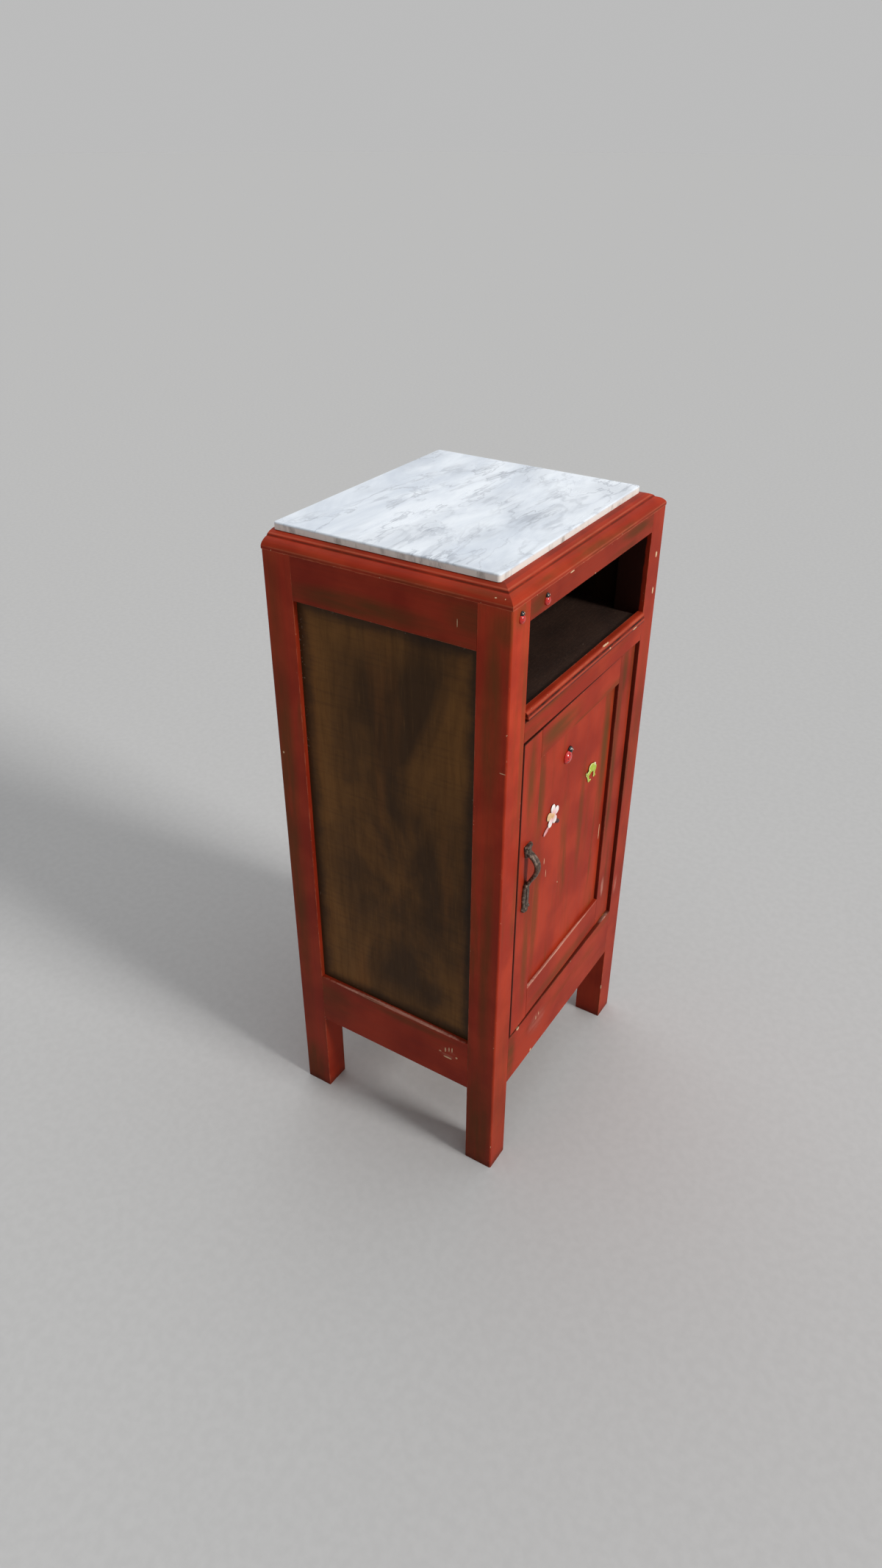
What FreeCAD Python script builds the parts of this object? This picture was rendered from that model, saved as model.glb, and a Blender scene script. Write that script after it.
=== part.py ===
import FreeCAD, Part
import math
import operator
import os
from types import SimpleNamespace
import Sketcher

# Bedside cabinet with a marble top, an open niche and one inset door.
# Millimetres; the origin is the bottom centre of the overall box, pull included,
# +X to the right of someone facing the door, +Y to the back, +Z up.

SIZES = {
    # case
    "case_width": 362.0,
    "case_depth": 300.0,
    "post_width": 35.0,
    "post_depth": 38.0,
    "post_height": 786.0,
    "post_round": 2.4,
    "post_inner_round": 0.5,
    "edge_round": 0.9,
    # rails and panels of the case
    "foot_clearance": 130.0,
    "bottom_rail_height": 76.5,
    "side_top_rail_height": 50.0,
    "front_top_rail_height": 23.0,
    "middle_rail_height": 24.5,
    "niche_height": 102.5,
    "rail_thickness": 22.0,
    "panel_thickness": 8.0,
    "panel_recess": 6.0,
    "panel_groove": 8.0,
    "panel_play": 1.0,
    "tenon_length": 16.0,
    "tenon_shoulder": 5.0,
    "mortise_play": 1.0,
    # niche floor, cupboard bottom and their cleats
    "shelf_thickness": 8.0,
    "bottom_thickness": 12.0,
    "board_play": 0.5,
    "cleat_width": 12.0,
    "cleat_height": 18.0,
    "nosing_depth": 9.5,
    "nosing_height": 12.4,
    "nosing_overhang": 2.5,
    "nosing_slant": 4.5,
    # moulded top and slab
    "top_thickness": 16.0,
    "strip_width": 60.0,
    "rebate_width": 10.0,
    "rebate_depth": 8.0,
    "marble_side_inset": 20.5,
    "marble_front_inset": 25.0,
    "marble_thickness": 8.0,
    "marble_back_inset": 3.0,
    "marble_shift": 2.0,
    "marble_corner_round": 3.5,
    "marble_edge_round": 1.7,
    # door
    "door_thickness": 18.0,
    "door_recess": 4.2,
    "door_gap_left": 3.0,
    "door_gap_right": 2.0,
    "door_gap_top": 3.5,
    "door_gap_bottom": 2.0,
    "door_ajar_angle": 0.75,
    "stile_width": 41.5,
    "door_top_rail_height": 37.0,
    "door_bottom_rail_height": 47.0,
    "door_panel_thickness": 8.0,
    "door_panel_recess": 4.7,
    "door_groove": 8.0,
    "door_tenon_length": 20.0,
    # pivots of the door
    "pivot_edge": 8.0,
    "pivot_face": 5.0,
    "pin_radius": 2.0,
    "pin_depth": 9.0,
    "pin_fit": 0.05,
    "bush_radius": 3.5,
    "bush_length": 12.0,
    "flange_radius": 4.5,
    "flange_clearance": 0.3,
    "plate_length": 38.0,
    "plate_width": 10.0,
    "plate_thickness": 2.0,
    "plate_lead": 7.0,
    # stop and catch
    "stop_width": 10.0,
    "stop_depth": 12.0,
    "stop_clearance": 0.3,
    "catch_width": 15.0,
    "catch_height": 40.0,
    "catch_drop": 60.0,
    "catch_round": 1.5,
    "strike_width": 11.0,
    "strike_height": 34.0,
    "strike_thickness": 1.5,
    # screws
    "screw_head_radius": 3.0,
    "screw_head_height": 1.8,
    "screw_radius": 1.5,
    "screw_length": 24.0,
    "small_screw_head_radius": 2.4,
    "small_screw_head_height": 1.4,
    "small_screw_radius": 1.2,
    "small_screw_length": 12.0,
    "screw_fit": 0.1,
    # iron pull
    "pull_inset": 18.5,
    "pull_height": 97.0,
    "pull_reach": 17.6,
    "bow_thickness": 4.8,
    "bow_width": 8.0,
    "bow_bevel": 1.5,
    "leaf_thickness": 3.4,
    "lower_leaf_width": 16.0,
    "lower_leaf_length": 42.0,
    "upper_leaf_width": 13.0,
    "upper_leaf_length": 19.0,
    "roll_radius": 2.3,
    "roll_width": 7.0,
    "collar_width": 11.0,
    "collar_height": 5.2,
    "collar_reach": 4.6,
    "knob_radius": 4.5,
    "knob_reach": 4.2,
    "nail_radius": 2.1,
    "nail_dome": 1.3,
    "nail_sink": 0.7,
    # small figures
    "small_ladybird_length": 13.0,
    "small_ladybird_height": 3.6,
    "large_ladybird_length": 22.0,
    "large_ladybird_height": 5.2,
    "frog_length": 26.0,
    "frog_height": 2.4,
    "flower_width": 30.0,
    "flower_height": 2.0,
    "flower_heart_height": 2.8,
    # how far a cut runs past the face it opens
    "cut_overrun": 4.0,
}

OPERATIONS = {"+": operator.add, "-": operator.sub, "*": operator.mul, "/": operator.truediv}
AXES = "xyz"
X_AXIS = FreeCAD.Vector(1, 0, 0)
Y_AXIS = FreeCAD.Vector(0, 1, 0)
Z_AXIS = FreeCAD.Vector(0, 0, 1)
UPRIGHT = FreeCAD.Rotation()
POINTING = {
    "+x": FreeCAD.Rotation(Y_AXIS, 90),
    "-x": FreeCAD.Rotation(Y_AXIS, -90),
    "+y": FreeCAD.Rotation(X_AXIS, -90),
    "-y": FreeCAD.Rotation(X_AXIS, 90),
    "+z": UPRIGHT,
    "-z": FreeCAD.Rotation(X_AXIS, 180),
}
DIAGONAL_SHARE = 2 ** 0.5
LEFT, RIGHT, FRONT, BACK = -1, 1, -1, 1


class Size:
    """A length that knows its number and the sheet expression it comes from."""

    def __init__(self, value, text):
        self.value = value
        self.text = text

    def join(self, sign, other, swapped=False):
        if not isinstance(other, Size):
            other = Size(other, repr(other))
        first, second = (other, self) if swapped else (self, other)
        return Size(OPERATIONS[sign](first.value, second.value), f"({first.text} {sign} {second.text})")

    def __add__(self, other):
        return self.join("+", other)

    def __radd__(self, other):
        return self.join("+", other, swapped=True)

    def __sub__(self, other):
        return self.join("-", other)

    def __rsub__(self, other):
        return self.join("-", other, swapped=True)

    def __mul__(self, other):
        return self.join("*", other)

    def __rmul__(self, other):
        return self.join("*", other, swapped=True)

    def __truediv__(self, other):
        return self.join("/", other)

    def __neg__(self):
        return 0 - self


def make_sheet():
    sheet = doc.addObject("Spreadsheet::Sheet", "Sizes")
    for row, (name, number) in enumerate(SIZES.items(), start=1):
        sheet.set(f"A{row}", name)
        sheet.set(f"B{row}", str(number))
        sheet.setAlias(f"B{row}", name)
    doc.recompute()
    return SimpleNamespace(**{name: Size(number, f"Sizes.{name}") for name, number in SIZES.items()})


def bind(thing, prop, size):
    """Tie a property to the sheet; a plain zero is left as it is."""
    if isinstance(size, Size):
        thing.setExpression(prop, size.text)


def number(size):
    return size.value if isinstance(size, Size) else size


def outward(side, near, far):
    """Range on the low or the high side of the middle, lowest end first."""
    return (near, far) if side > 0 else (-far, -near)


def span(centre, size):
    return (centre - size / 2, centre + size / 2)


class Piece:
    """One piece of the cabinet: a body built from features that follow the sheet."""

    def __init__(self, label, at=(0, 0, 0), turn=0):
        self.body = doc.addObject("PartDesign::Body", label)
        self.body.Placement = FreeCAD.Placement(FreeCAD.Vector(), FreeCAD.Rotation(Z_AXIS, number(turn)))
        x, y, z = at
        for axis, size in zip(AXES, (x, y + centre_shift, z)):
            bind(self.body, f"Placement.Base.{axis}", size)
        bind(self.body, "Placement.Rotation.Angle", turn)
        pieces.append(self.body)

    def feature(self, kind):
        return self.body.newObject(f"PartDesign::{kind}", f"{self.body.Name}_{kind}")

    def primitive(self, kind, at, rotation, **sizes):
        solid = self.feature(kind)
        solid.Placement = FreeCAD.Placement(FreeCAD.Vector(), rotation)
        for axis, size in zip(AXES, at):
            bind(solid, f"Placement.Base.{axis}", size)
        for prop, size in sizes.items():
            bind(solid, prop, size)
        return solid

    def box(self, kind, x, y, z):
        lows = [pair[0] for pair in (x, y, z)]
        length, width, height = [pair[1] - pair[0] for pair in (x, y, z)]
        return self.primitive(kind, lows, UPRIGHT, Length=length, Width=width, Height=height)

    def block(self, x, y, z):
        return self.box("AdditiveBox", x, y, z)

    def cut(self, x, y, z):
        return self.box("SubtractiveBox", x, y, z)

    def rod(self, at, way, radius, length):
        return self.primitive("AdditiveCylinder", at, POINTING[way], Radius=radius, Height=length)

    def bore(self, at, way, radius, length):
        return self.primitive("SubtractiveCylinder", at, POINTING[way], Radius=radius, Height=length)

    def prism(self, kind, at, way, sides, radius, length):
        solid = self.primitive(kind, at, POINTING[way], Circumradius=radius, Height=length)
        solid.Polygon = sides
        return solid

    def boss(self, at, radius, reach):
        """Small stepped boss on the front plane."""
        for size_share, rise_share in BOSS_SHARES:
            self.prism("AdditivePrism", at, "-y", HEAD_SIDES, radius * size_share, reach * rise_share)

    def cap(self, at, radius, reach):
        """Faceted boss on the front plane, rising in slopes to a small flat crown."""
        x, face, z = at
        outlines = []
        for size_share, rise_share in CAP_SHARES:
            corners = []
            for corner in range(HEAD_SIDES):
                turn = 2 * math.pi * corner / HEAD_SIDES
                across_share, up_share = size_share * math.sin(turn), size_share * math.cos(turn)
                corners.append((x + radius * across_share, z + radius * up_share))
            rise = (0, 0, reach * rise_share - face)
            outlines.append(self.sketch("XZ_Plane", corners, offset=rise))
        self.loft(outlines)

    def leaf(self, at, length, width, reach):
        """Pointed leaf on the front plane, rising in slopes to a narrow crest."""
        x, face, z = at
        outlines = []
        for size_share, rise_share in LEAF_SHARES:
            half = length / 2 * size_share
            radius = tangent_radius(width / 2 * size_share, half)
            sides = {0: (radius, 1), 1: (radius, 1)}
            rise = (0, 0, reach * rise_share - face)
            outlines.append(self.sketch("XZ_Plane", [(x, z - half), (x, z + half)], sides, offset=rise))
        self.loft(outlines)

    def loft(self, outlines):
        loft = self.feature("AdditiveLoft")
        loft.Profile = outlines[0]
        loft.Sections = outlines[1:]
        loft.Ruled = True

    def bar(self, first, last, width, face, reach):
        """Flat bar with blunt faceted ends, lying on the front plane from one point to another."""
        ends = [FreeCAD.Vector(number(point[0]), number(point[1]), 0) for point in (first, last)]
        run = ends[1] - ends[0]
        heading = math.atan2(run.y, run.x)
        corners = []
        for point, facing in ((last, heading), (first, heading + math.pi)):
            for turn in BAR_END_TURNS:
                angle = facing + math.radians(turn)
                across_share, up_share = math.cos(angle) / 2, math.sin(angle) / 2
                corners.append((point[0] + width * across_share, point[1] + width * up_share))
        self.pad(self.sketch("XZ_Plane", corners, offset=(0, 0, reach / 2 - face)), reach)

    def ease(self, radius, chosen):
        """Round the edges of the last feature for which chosen(edge, box) is true."""
        bind(self.dress("Fillet", chosen), "Radius", radius)

    def bevel(self, size, chosen):
        """Bevel the edges of the last feature for which chosen(edge, box) is true."""
        bind(self.dress("Chamfer", chosen), "Size", size)

    def dress(self, kind, chosen):
        doc.recompute()
        base = self.body.Tip
        box = base.Shape.BoundBox
        names = [f"Edge{i}" for i, edge in enumerate(base.Shape.Edges, start=1) if chosen(edge, box)]
        dressing = self.feature(kind)
        dressing.Base = (base, names)
        return dressing

    def sketch(self, plane, points, arcs=None, offset=(0, 0, 0)):
        """Closed outline; arcs gives an edge's radius and the side its centre lies on."""
        sketch = self.body.newObject("Sketcher::SketchObject", f"{self.body.Name}_outline")
        support = next(part for part in self.body.Origin.OriginFeatures if part.Role == plane)
        sketch.AttachmentSupport = (support, "")
        sketch.MapMode = "FlatFace"
        for axis, size in zip(AXES, offset):
            bind(sketch, f"AttachmentOffset.Base.{axis}", size)
        corners = [FreeCAD.Vector(number(u), number(v), 0) for u, v in points]
        starts, ends = [], []
        for i, corner in enumerate(corners):
            after = corners[(i + 1) % len(corners)]
            starts.append(1)
            ends.append(2)
            if arcs and i in arcs:
                radius, side = arcs[i]
                sketch.addGeometry(arc_between(corner, after, number(radius), side))
                if side < 0:
                    starts[i], ends[i] = 2, 1
                index = sketch.addConstraint(Sketcher.Constraint("Radius", i, number(radius)))
                bind(sketch, f"Constraints[{index}]", radius)
            else:
                sketch.addGeometry(Part.LineSegment(corner, after))
        for i, (u, v) in enumerate(points):
            after = (i + 1) % len(points)
            sketch.addConstraint(Sketcher.Constraint("Coincident", i, ends[i], after, starts[after]))
            for kind, size in (("DistanceX", u), ("DistanceY", v)):
                rule = Sketcher.Constraint(kind, -1, 1, i, starts[i], number(size))
                index = sketch.addConstraint(rule)
                bind(sketch, f"Constraints[{index}]", size)
        return sketch

    def pad(self, outline, length):
        pad = self.feature("Pad")
        pad.Profile = outline
        pad.SideType = "Symmetric"
        bind(pad, "Length", length)
        return pad

    def pocket(self, outline):
        pocket = self.feature("Pocket")
        pocket.Profile = outline
        pocket.Type = "ThroughAll"
        pocket.SideType = "Symmetric"
        return pocket

    def screw(self, at, way, kind):
        """Flat-headed screw let in flush at a point."""
        self.prism("AdditivePrism", at, way, HEAD_SIDES, kind.head_radius, kind.head_height)
        self.prism("AdditivePrism", at, way, SHANK_SIDES, kind.radius, kind.length)

    def seat(self, at, way, kind):
        """Stepped hole for a screw with its head flush at a point."""
        self.prism("SubtractivePrism", at, way, HEAD_SIDES, kind.head_radius, kind.head_height)
        self.pilot(at, way, kind)

    def pilot(self, at, way, kind):
        self.prism("SubtractivePrism", at, way, SHANK_SIDES,
                   kind.radius + s.screw_fit, kind.length + s.screw_fit)


def arc_between(start, end, radius, side):
    """Arc from start to end with its centre to the left (1) or right (-1) of the way."""
    chord = end - start
    inset = math.sqrt(max(radius ** 2 - (chord.Length / 2) ** 2, 0))
    hub = (start + end) / 2 + FreeCAD.Vector(-chord.y, chord.x, 0).normalize() * (inset * side)
    first, last = (start, end) if side > 0 else (end, start)
    turns = [math.atan2(point.y - hub.y, point.x - hub.x) for point in (first, last)]
    return Part.ArcOfCircle(Part.Circle(hub, Z_AXIS, radius), *turns)


def tangent_radius(drop, rise):
    """Radius of the arc that leaves its peak level and falls by drop over rise."""
    return (drop * drop + rise * rise) / (2 * drop)


def along(axis, box_side=None):
    """Test for straight edges along an axis, on the given sides of the piece's box."""
    wanted = dict(box_side or {})

    def chosen(edge, box):
        first, last = edge.Vertexes[0].Point, edge.Vertexes[-1].Point
        run = last - first
        if run.Length == 0 or abs(getattr(run, axis)) < run.Length * PARALLEL_SHARE:
            return False
        for name, side in wanted.items():
            limit = getattr(box, name.upper() + ("Max" if side > 0 else "Min"))
            if abs(getattr(first, name) - limit) > TOUCH_SHARE * box.DiagonalLength:
                return False
        return True

    return chosen


PARALLEL_SHARE, TOUCH_SHARE = 0.999, 1e-6
HEAD_SIDES, SHANK_SIDES = 12, 6
BAR_END_TURNS = (-90, -45, 0, 45, 90)
BOSS_SHARES = [(1.0, 0.62), (0.72, 1.0)]
CAP_SHARES = [(1.0, 0.0), (0.86, 0.55), (0.42, 1.0)]
LEAF_SHARES = [(1.0, 0.0), (0.84, 0.6), (0.4, 1.0)]

doc = FreeCAD.newDocument("Nightstand")
pieces = []
s = make_sheet()
long_screw = SimpleNamespace(head_radius=s.screw_head_radius, head_height=s.screw_head_height,
                             radius=s.screw_radius, length=s.screw_length)
short_screw = SimpleNamespace(head_radius=s.small_screw_head_radius, head_height=s.small_screw_head_height,
                              radius=s.small_screw_radius, length=s.small_screw_length)

# Planes that several pieces share
half_width = s.case_width / 2
half_depth = s.case_depth / 2
inner_x = half_width - s.post_width
inner_y = half_depth - s.post_depth
tongue_x = (half_width - s.panel_recess - s.panel_thickness, half_width - s.panel_recess)
tongue_y = (half_depth - s.panel_recess - s.panel_thickness, half_depth - s.panel_recess)
mortise_depth = s.tenon_length + s.mortise_play
bottom_rail = (s.foot_clearance, s.foot_clearance + s.bottom_rail_height)
side_top_rail = (s.post_height - s.side_top_rail_height, s.post_height)
front_top_rail = (s.post_height - s.front_top_rail_height, s.post_height)
shelf_top = front_top_rail[0] - s.niche_height
shelf = (shelf_top - s.shelf_thickness, shelf_top)
middle_rail = (shelf[0] - s.middle_rail_height, shelf[0])
door_opening_height = middle_rail[0] - bottom_rail[1]
panel_edge = s.panel_groove + s.tenon_shoulder
small_front = s.front_top_rail_height / 5
small_middle = s.middle_rail_height / 5

# Height of each rail's tenon: clear of the groove where there is a panel
side_tenons = [
    (bottom_rail[0] + s.tenon_shoulder, bottom_rail[1] - panel_edge),
    (side_top_rail[0] + panel_edge, side_top_rail[1] - s.tenon_shoulder),
]
front_tenons = [
    (bottom_rail[0] + s.tenon_shoulder, bottom_rail[1] - panel_edge),
    (middle_rail[0] + small_middle, middle_rail[1] - small_middle),
    (front_top_rail[0] + small_front, front_top_rail[1] - small_front),
]


def make_post(label, side, end):
    post = Piece(label)
    post.block(outward(side, inner_x, half_width), outward(end, inner_y, half_depth), (0, s.post_height))
    post.ease(s.post_round, along("z", {"x": side, "y": end}))
    post.ease(s.post_inner_round,
              lambda edge, box: along("z")(edge, box) and not on_corner(edge, box, side, end))
    into_x = outward(side, inner_x - s.cut_overrun, inner_x + mortise_depth)
    into_y = outward(end, inner_y - s.cut_overrun, inner_y + mortise_depth)
    for tenon in side_tenons:
        post.cut(outward(side, *tongue_x), into_y, tenon)
    for tenon in front_tenons if end == FRONT else side_tenons:
        post.cut(into_x, outward(end, *tongue_y), tenon)
    groove = (bottom_rail[1] - panel_edge, side_top_rail[0] + panel_edge)
    into_y = outward(end, inner_y - s.cut_overrun, inner_y + s.panel_groove)
    post.cut(outward(side, *tongue_x), into_y, groove)
    if end == BACK:
        into_x = outward(side, inner_x - s.cut_overrun, inner_x + s.panel_groove)
        post.cut(into_x, outward(end, *tongue_y), groove)
    inward = "-x" if side == LEFT else "+x"
    post.pilot((side * (inner_x - s.cleat_width), end * shelf_screw_y, shelf_screw_z), inward, long_screw)
    if side == LEFT and end == FRONT:
        for z in stop_screw_z:
            post.pilot((-inner_x + s.stop_width, stop_mid, z), inward, long_screw)


def on_corner(edge, box, side, end):
    """True for the two arrises left by the corner that is rounded already."""
    reach = s.post_round.value * (1 + TOUCH_SHARE)
    point = edge.Vertexes[0].Point
    near_x = abs(point.x - (box.XMax if side > 0 else box.XMin)) < reach
    near_y = abs(point.y - (box.YMax if end > 0 else box.YMin)) < reach
    return near_x and near_y


def rail_edges(axis, face):
    """Test for the edges of a rail's show face, but not where the moulding lies on it."""
    def chosen(edge, box):
        return along(axis, face)(edge, box) and edge.BoundBox.ZMax < s.post_height.value * (1 - TOUCH_SHARE)
    return chosen


def make_side_rail(label, side, height, tenon, groove):
    rail = Piece(label)
    rail.block(outward(side, half_width - s.rail_thickness, half_width), (-inner_y, inner_y), height)
    rail.ease(s.edge_round, rail_edges("y", {"x": side}))
    rail.block(outward(side, *tongue_x), (-inner_y - s.tenon_length, inner_y + s.tenon_length), tenon)
    rail.cut(outward(side, *tongue_x), (-inner_y, inner_y), groove)
    return rail


def make_cross_rail(label, end, height, tenon, groove=None):
    rail = Piece(label)
    rail.block((-inner_x, inner_x), outward(end, half_depth - s.rail_thickness, half_depth), height)
    rail.ease(s.edge_round, rail_edges("x", {"y": end}))
    rail.block((-inner_x - s.tenon_length, inner_x + s.tenon_length), outward(end, *tongue_y), tenon)
    if groove:
        rail.cut((-inner_x, inner_x), outward(end, *tongue_y), groove)
    return rail


# Door planes, measured from the pivot axis with the door shut
pivot_x = inner_x - s.door_gap_right - s.pivot_edge
pivot_y = -half_depth + s.door_recess + s.pivot_face
door_right = s.pivot_edge
door_left = -(2 * inner_x - s.door_gap_left - s.door_gap_right - s.pivot_edge)
door_front = -s.pivot_face
door_back = s.door_thickness - s.pivot_face
door_low = bottom_rail[1] + s.door_gap_bottom
door_high = middle_rail[0] - s.door_gap_top
opening_left = door_left + s.stile_width
opening_right = door_right - s.stile_width
opening_low = door_low + s.door_bottom_rail_height
opening_high = door_high - s.door_top_rail_height
door_tongue = (door_front + s.door_panel_recess, door_front + s.door_panel_recess + s.door_panel_thickness)
door_edge = s.door_groove + s.tenon_shoulder
figure_face = door_tongue[0]

# The whole cabinet stands back by half the pull's reach past the case, as the door stands ajar
PULL_RISE_SHARE = 0.446
pull_x = door_left + s.pull_inset
pull_z = door_low + (door_high - door_low) * PULL_RISE_SHARE
ajar = math.radians(SIZES["door_ajar_angle"])
AJAR_SIDE_SHARE, AJAR_FRONT_SHARE = math.sin(ajar), math.cos(ajar)
pull_edge = pull_x - s.bow_width / 2 + s.bow_bevel
pull_front = pivot_y + pull_edge * AJAR_SIDE_SHARE - (s.pivot_face + s.pull_reach) * AJAR_FRONT_SHARE
centre_shift = (-half_depth - pull_front) / 2

# Places of the stop, the catch and the screws
stop_front = pivot_y + door_back + s.stop_clearance
stop_mid = stop_front + s.stop_depth / 2
stop_inner = -inner_x + s.stop_width
STOP_SCREW_SHARES = (0.15, 0.6)
stop_screw_z = [bottom_rail[1] + door_opening_height * share for share in STOP_SCREW_SHARES]
catch_middle = door_high - s.catch_drop
catch_screw_z = [catch_middle + side * s.catch_height / 3 for side in (LEFT, RIGHT)]
strike_x = stop_inner + s.catch_width / 2 - pivot_x
strike_screw_z = [catch_middle + side * s.strike_height / 3 for side in (LEFT, RIGHT)]
shelf_screw_y = (inner_y + half_depth - s.rail_thickness) / 2
shelf_screw_z = shelf[0] - s.cleat_height / 2
bottom_board = (bottom_rail[1] - s.bottom_thickness, bottom_rail[1])
bottom_screw_y = inner_y / 2
bottom_screw_z = bottom_board[0] - s.cleat_height / 2
rail_back = half_depth - s.rail_thickness
rail_side = half_width - s.rail_thickness

# Frame of the case
for side, side_name in ((LEFT, "left"), (RIGHT, "right")):
    make_post(f"post_front_{side_name}", side, FRONT)
    make_post(f"post_back_{side_name}", side, BACK)
    lower_groove = (bottom_rail[1] - s.panel_groove, bottom_rail[1] + s.cut_overrun)
    upper_groove = (side_top_rail[0] - s.cut_overrun, side_top_rail[0] + s.panel_groove)
    make_side_rail(f"side_top_rail_{side_name}", side, side_top_rail, side_tenons[1], upper_groove)
    rail = make_side_rail(f"side_bottom_rail_{side_name}", side, bottom_rail, side_tenons[0], lower_groove)
    for place in (FRONT, BACK):
        spot = (side * (rail_side - s.cleat_width), place * bottom_screw_y, bottom_screw_z)
        rail.pilot(spot, "-x" if side == LEFT else "+x", long_screw)
    panel = Piece(f"side_panel_{side_name}")
    reach = s.panel_groove - s.panel_play
    panel.block(outward(side, *tongue_x), (-inner_y - reach, inner_y + reach),
                (bottom_rail[1] - reach, side_top_rail[0] + reach))

make_cross_rail("front_top_rail", FRONT, front_top_rail, front_tenons[2])
make_cross_rail("back_top_rail", BACK, side_top_rail, side_tenons[1], upper_groove)
make_cross_rail("back_bottom_rail", BACK, bottom_rail, side_tenons[0], lower_groove)
back_panel = Piece("back_panel")
back_panel.block((-inner_x - reach, inner_x + reach), tongue_y,
                 (bottom_rail[1] - reach, side_top_rail[0] + reach))

# Front rails that carry the pivots
plate_x = (pivot_x - s.plate_length + s.plate_lead, pivot_x + s.plate_lead)
plate_y = span(pivot_y, s.plate_width)
PLATE_SCREW_SHARES = (0.35, 0.7)
plate_screw_x = [pivot_x - (s.plate_length - s.plate_lead) * share for share in PLATE_SCREW_SHARES]
front_rails = {
    "top": make_cross_rail("front_middle_rail", FRONT, middle_rail, front_tenons[1]),
    "bottom": make_cross_rail("front_bottom_rail", FRONT, bottom_rail, front_tenons[0]),
}
plate_faces = {"top": middle_rail[0], "bottom": bottom_rail[1]}
plate_ranges = {
    "top": (middle_rail[0], middle_rail[0] + s.plate_thickness),
    "bottom": (bottom_rail[1] - s.plate_thickness, bottom_rail[1]),
}
recess_ranges = {
    "top": (middle_rail[0] - s.cut_overrun, middle_rail[0] + s.plate_thickness),
    "bottom": (bottom_rail[1] - s.plate_thickness, bottom_rail[1] + s.cut_overrun),
}
pin_lengths = {"top": s.door_gap_top + s.pin_depth, "bottom": s.door_gap_bottom + s.pin_depth}
pivot_screws = Piece("pivot_screws")
for end, into_rail, into_door in (("top", "+z", "-z"), ("bottom", "-z", "+z")):
    front_rails[end].cut(plate_x, plate_y, recess_ranges[end])
    plate = Piece(f"pivot_plate_{end}")
    plate.block(plate_x, plate_y, plate_ranges[end])
    plate.rod((pivot_x, pivot_y, plate_faces[end]), into_door, s.pin_radius, pin_lengths[end])
    for x in plate_screw_x:
        spot = (x, pivot_y, plate_faces[end])
        plate.seat(spot, into_rail, short_screw)
        front_rails[end].pilot(spot, into_rail, short_screw)
        pivot_screws.screw(spot, into_rail, short_screw)

# Niche floor, cupboard bottom and their cleats
niche_shelf = Piece("niche_shelf")
nosing_back = -half_depth - s.nosing_overhang + s.nosing_depth
niche_shelf.block((-inner_x + s.board_play, inner_x - s.board_play),
                  (nosing_back, tongue_y[0] - s.board_play), shelf)
niche_shelf.block((-tongue_x[0] + s.board_play, tongue_x[0] - s.board_play),
                  (-inner_y + s.board_play, inner_y - s.board_play), shelf)
cupboard_bottom = Piece("cupboard_bottom")
cupboard_bottom.block((-inner_x + s.board_play, inner_x - s.board_play),
                      (-rail_back + s.board_play, rail_back - s.board_play), bottom_board)
cupboard_bottom.block((-rail_side + s.board_play, rail_side - s.board_play),
                      (-inner_y + s.board_play, inner_y - s.board_play), bottom_board)
cleat_screws = Piece("cleat_screws")
for side, side_name in ((LEFT, "left"), (RIGHT, "right")):
    inward = "-x" if side == LEFT else "+x"
    shelf_cleat = Piece(f"shelf_cleat_{side_name}")
    shelf_cleat.block(outward(side, inner_x - s.cleat_width, inner_x), (-rail_back, rail_back),
                      (shelf[0] - s.cleat_height, shelf[0]))
    bottom_cleat = Piece(f"bottom_cleat_{side_name}")
    bottom_cleat.block(outward(side, rail_side - s.cleat_width, rail_side), (-inner_y, inner_y),
                       (bottom_board[0] - s.cleat_height, bottom_board[0]))
    for place in (FRONT, BACK):
        upper = (side * (inner_x - s.cleat_width), place * shelf_screw_y, shelf_screw_z)
        lower = (side * (rail_side - s.cleat_width), place * bottom_screw_y, bottom_screw_z)
        for cleat, spot in ((shelf_cleat, upper), (bottom_cleat, lower)):
            cleat.seat(spot, inward, long_screw)
            cleat_screws.screw(spot, inward, long_screw)

# Nosing with two beads, slanting at its left end
BEAD_SHARE, QUIRK_SHARE, LIP_SHARE = 0.6, 0.08, 0.5
BEAD_FACE_SHARE, QUIRK_FACE_SHARE, UPPER_FACE_SHARE = 0.9, 0.74, 0.96
BEAD_RADIUS_SHARE, LIP_RADIUS_SHARE = 0.65, 0.44
nosing = Piece("shelf_nosing", at=(0, nosing_back, shelf[0]), turn=-90)
bead_top = s.nosing_height * BEAD_SHARE
quirk_top = bead_top + s.nosing_height * QUIRK_SHARE
bead_face = s.nosing_depth * BEAD_FACE_SHARE
quirk_face = s.nosing_depth * QUIRK_FACE_SHARE
nosing_outline = nosing.sketch("XZ_Plane", [
    (0, 0),
    (bead_face, 0),
    (bead_face, bead_top),
    (quirk_face, bead_top),
    (quirk_face, quirk_top),
    (s.nosing_depth * UPPER_FACE_SHARE, quirk_top),
    (s.nosing_depth * LIP_SHARE, s.nosing_height),
    (0, s.nosing_height),
], arcs={1: (s.nosing_height * BEAD_RADIUS_SHARE, 1), 5: (s.nosing_depth * LIP_RADIUS_SHARE, 1)})
nosing_end = -inner_x
nosing.pad(nosing_outline, 2 * inner_x)
nosing.pocket(nosing.sketch("YZ_Plane", [
    (nosing_end - s.cut_overrun, s.nosing_height),
    (nosing_end, s.nosing_height),
    (nosing_end + s.nosing_slant, 0),
    (nosing_end + s.nosing_slant, -s.cut_overrun),
    (nosing_end - s.cut_overrun, -s.cut_overrun),
]))

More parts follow.
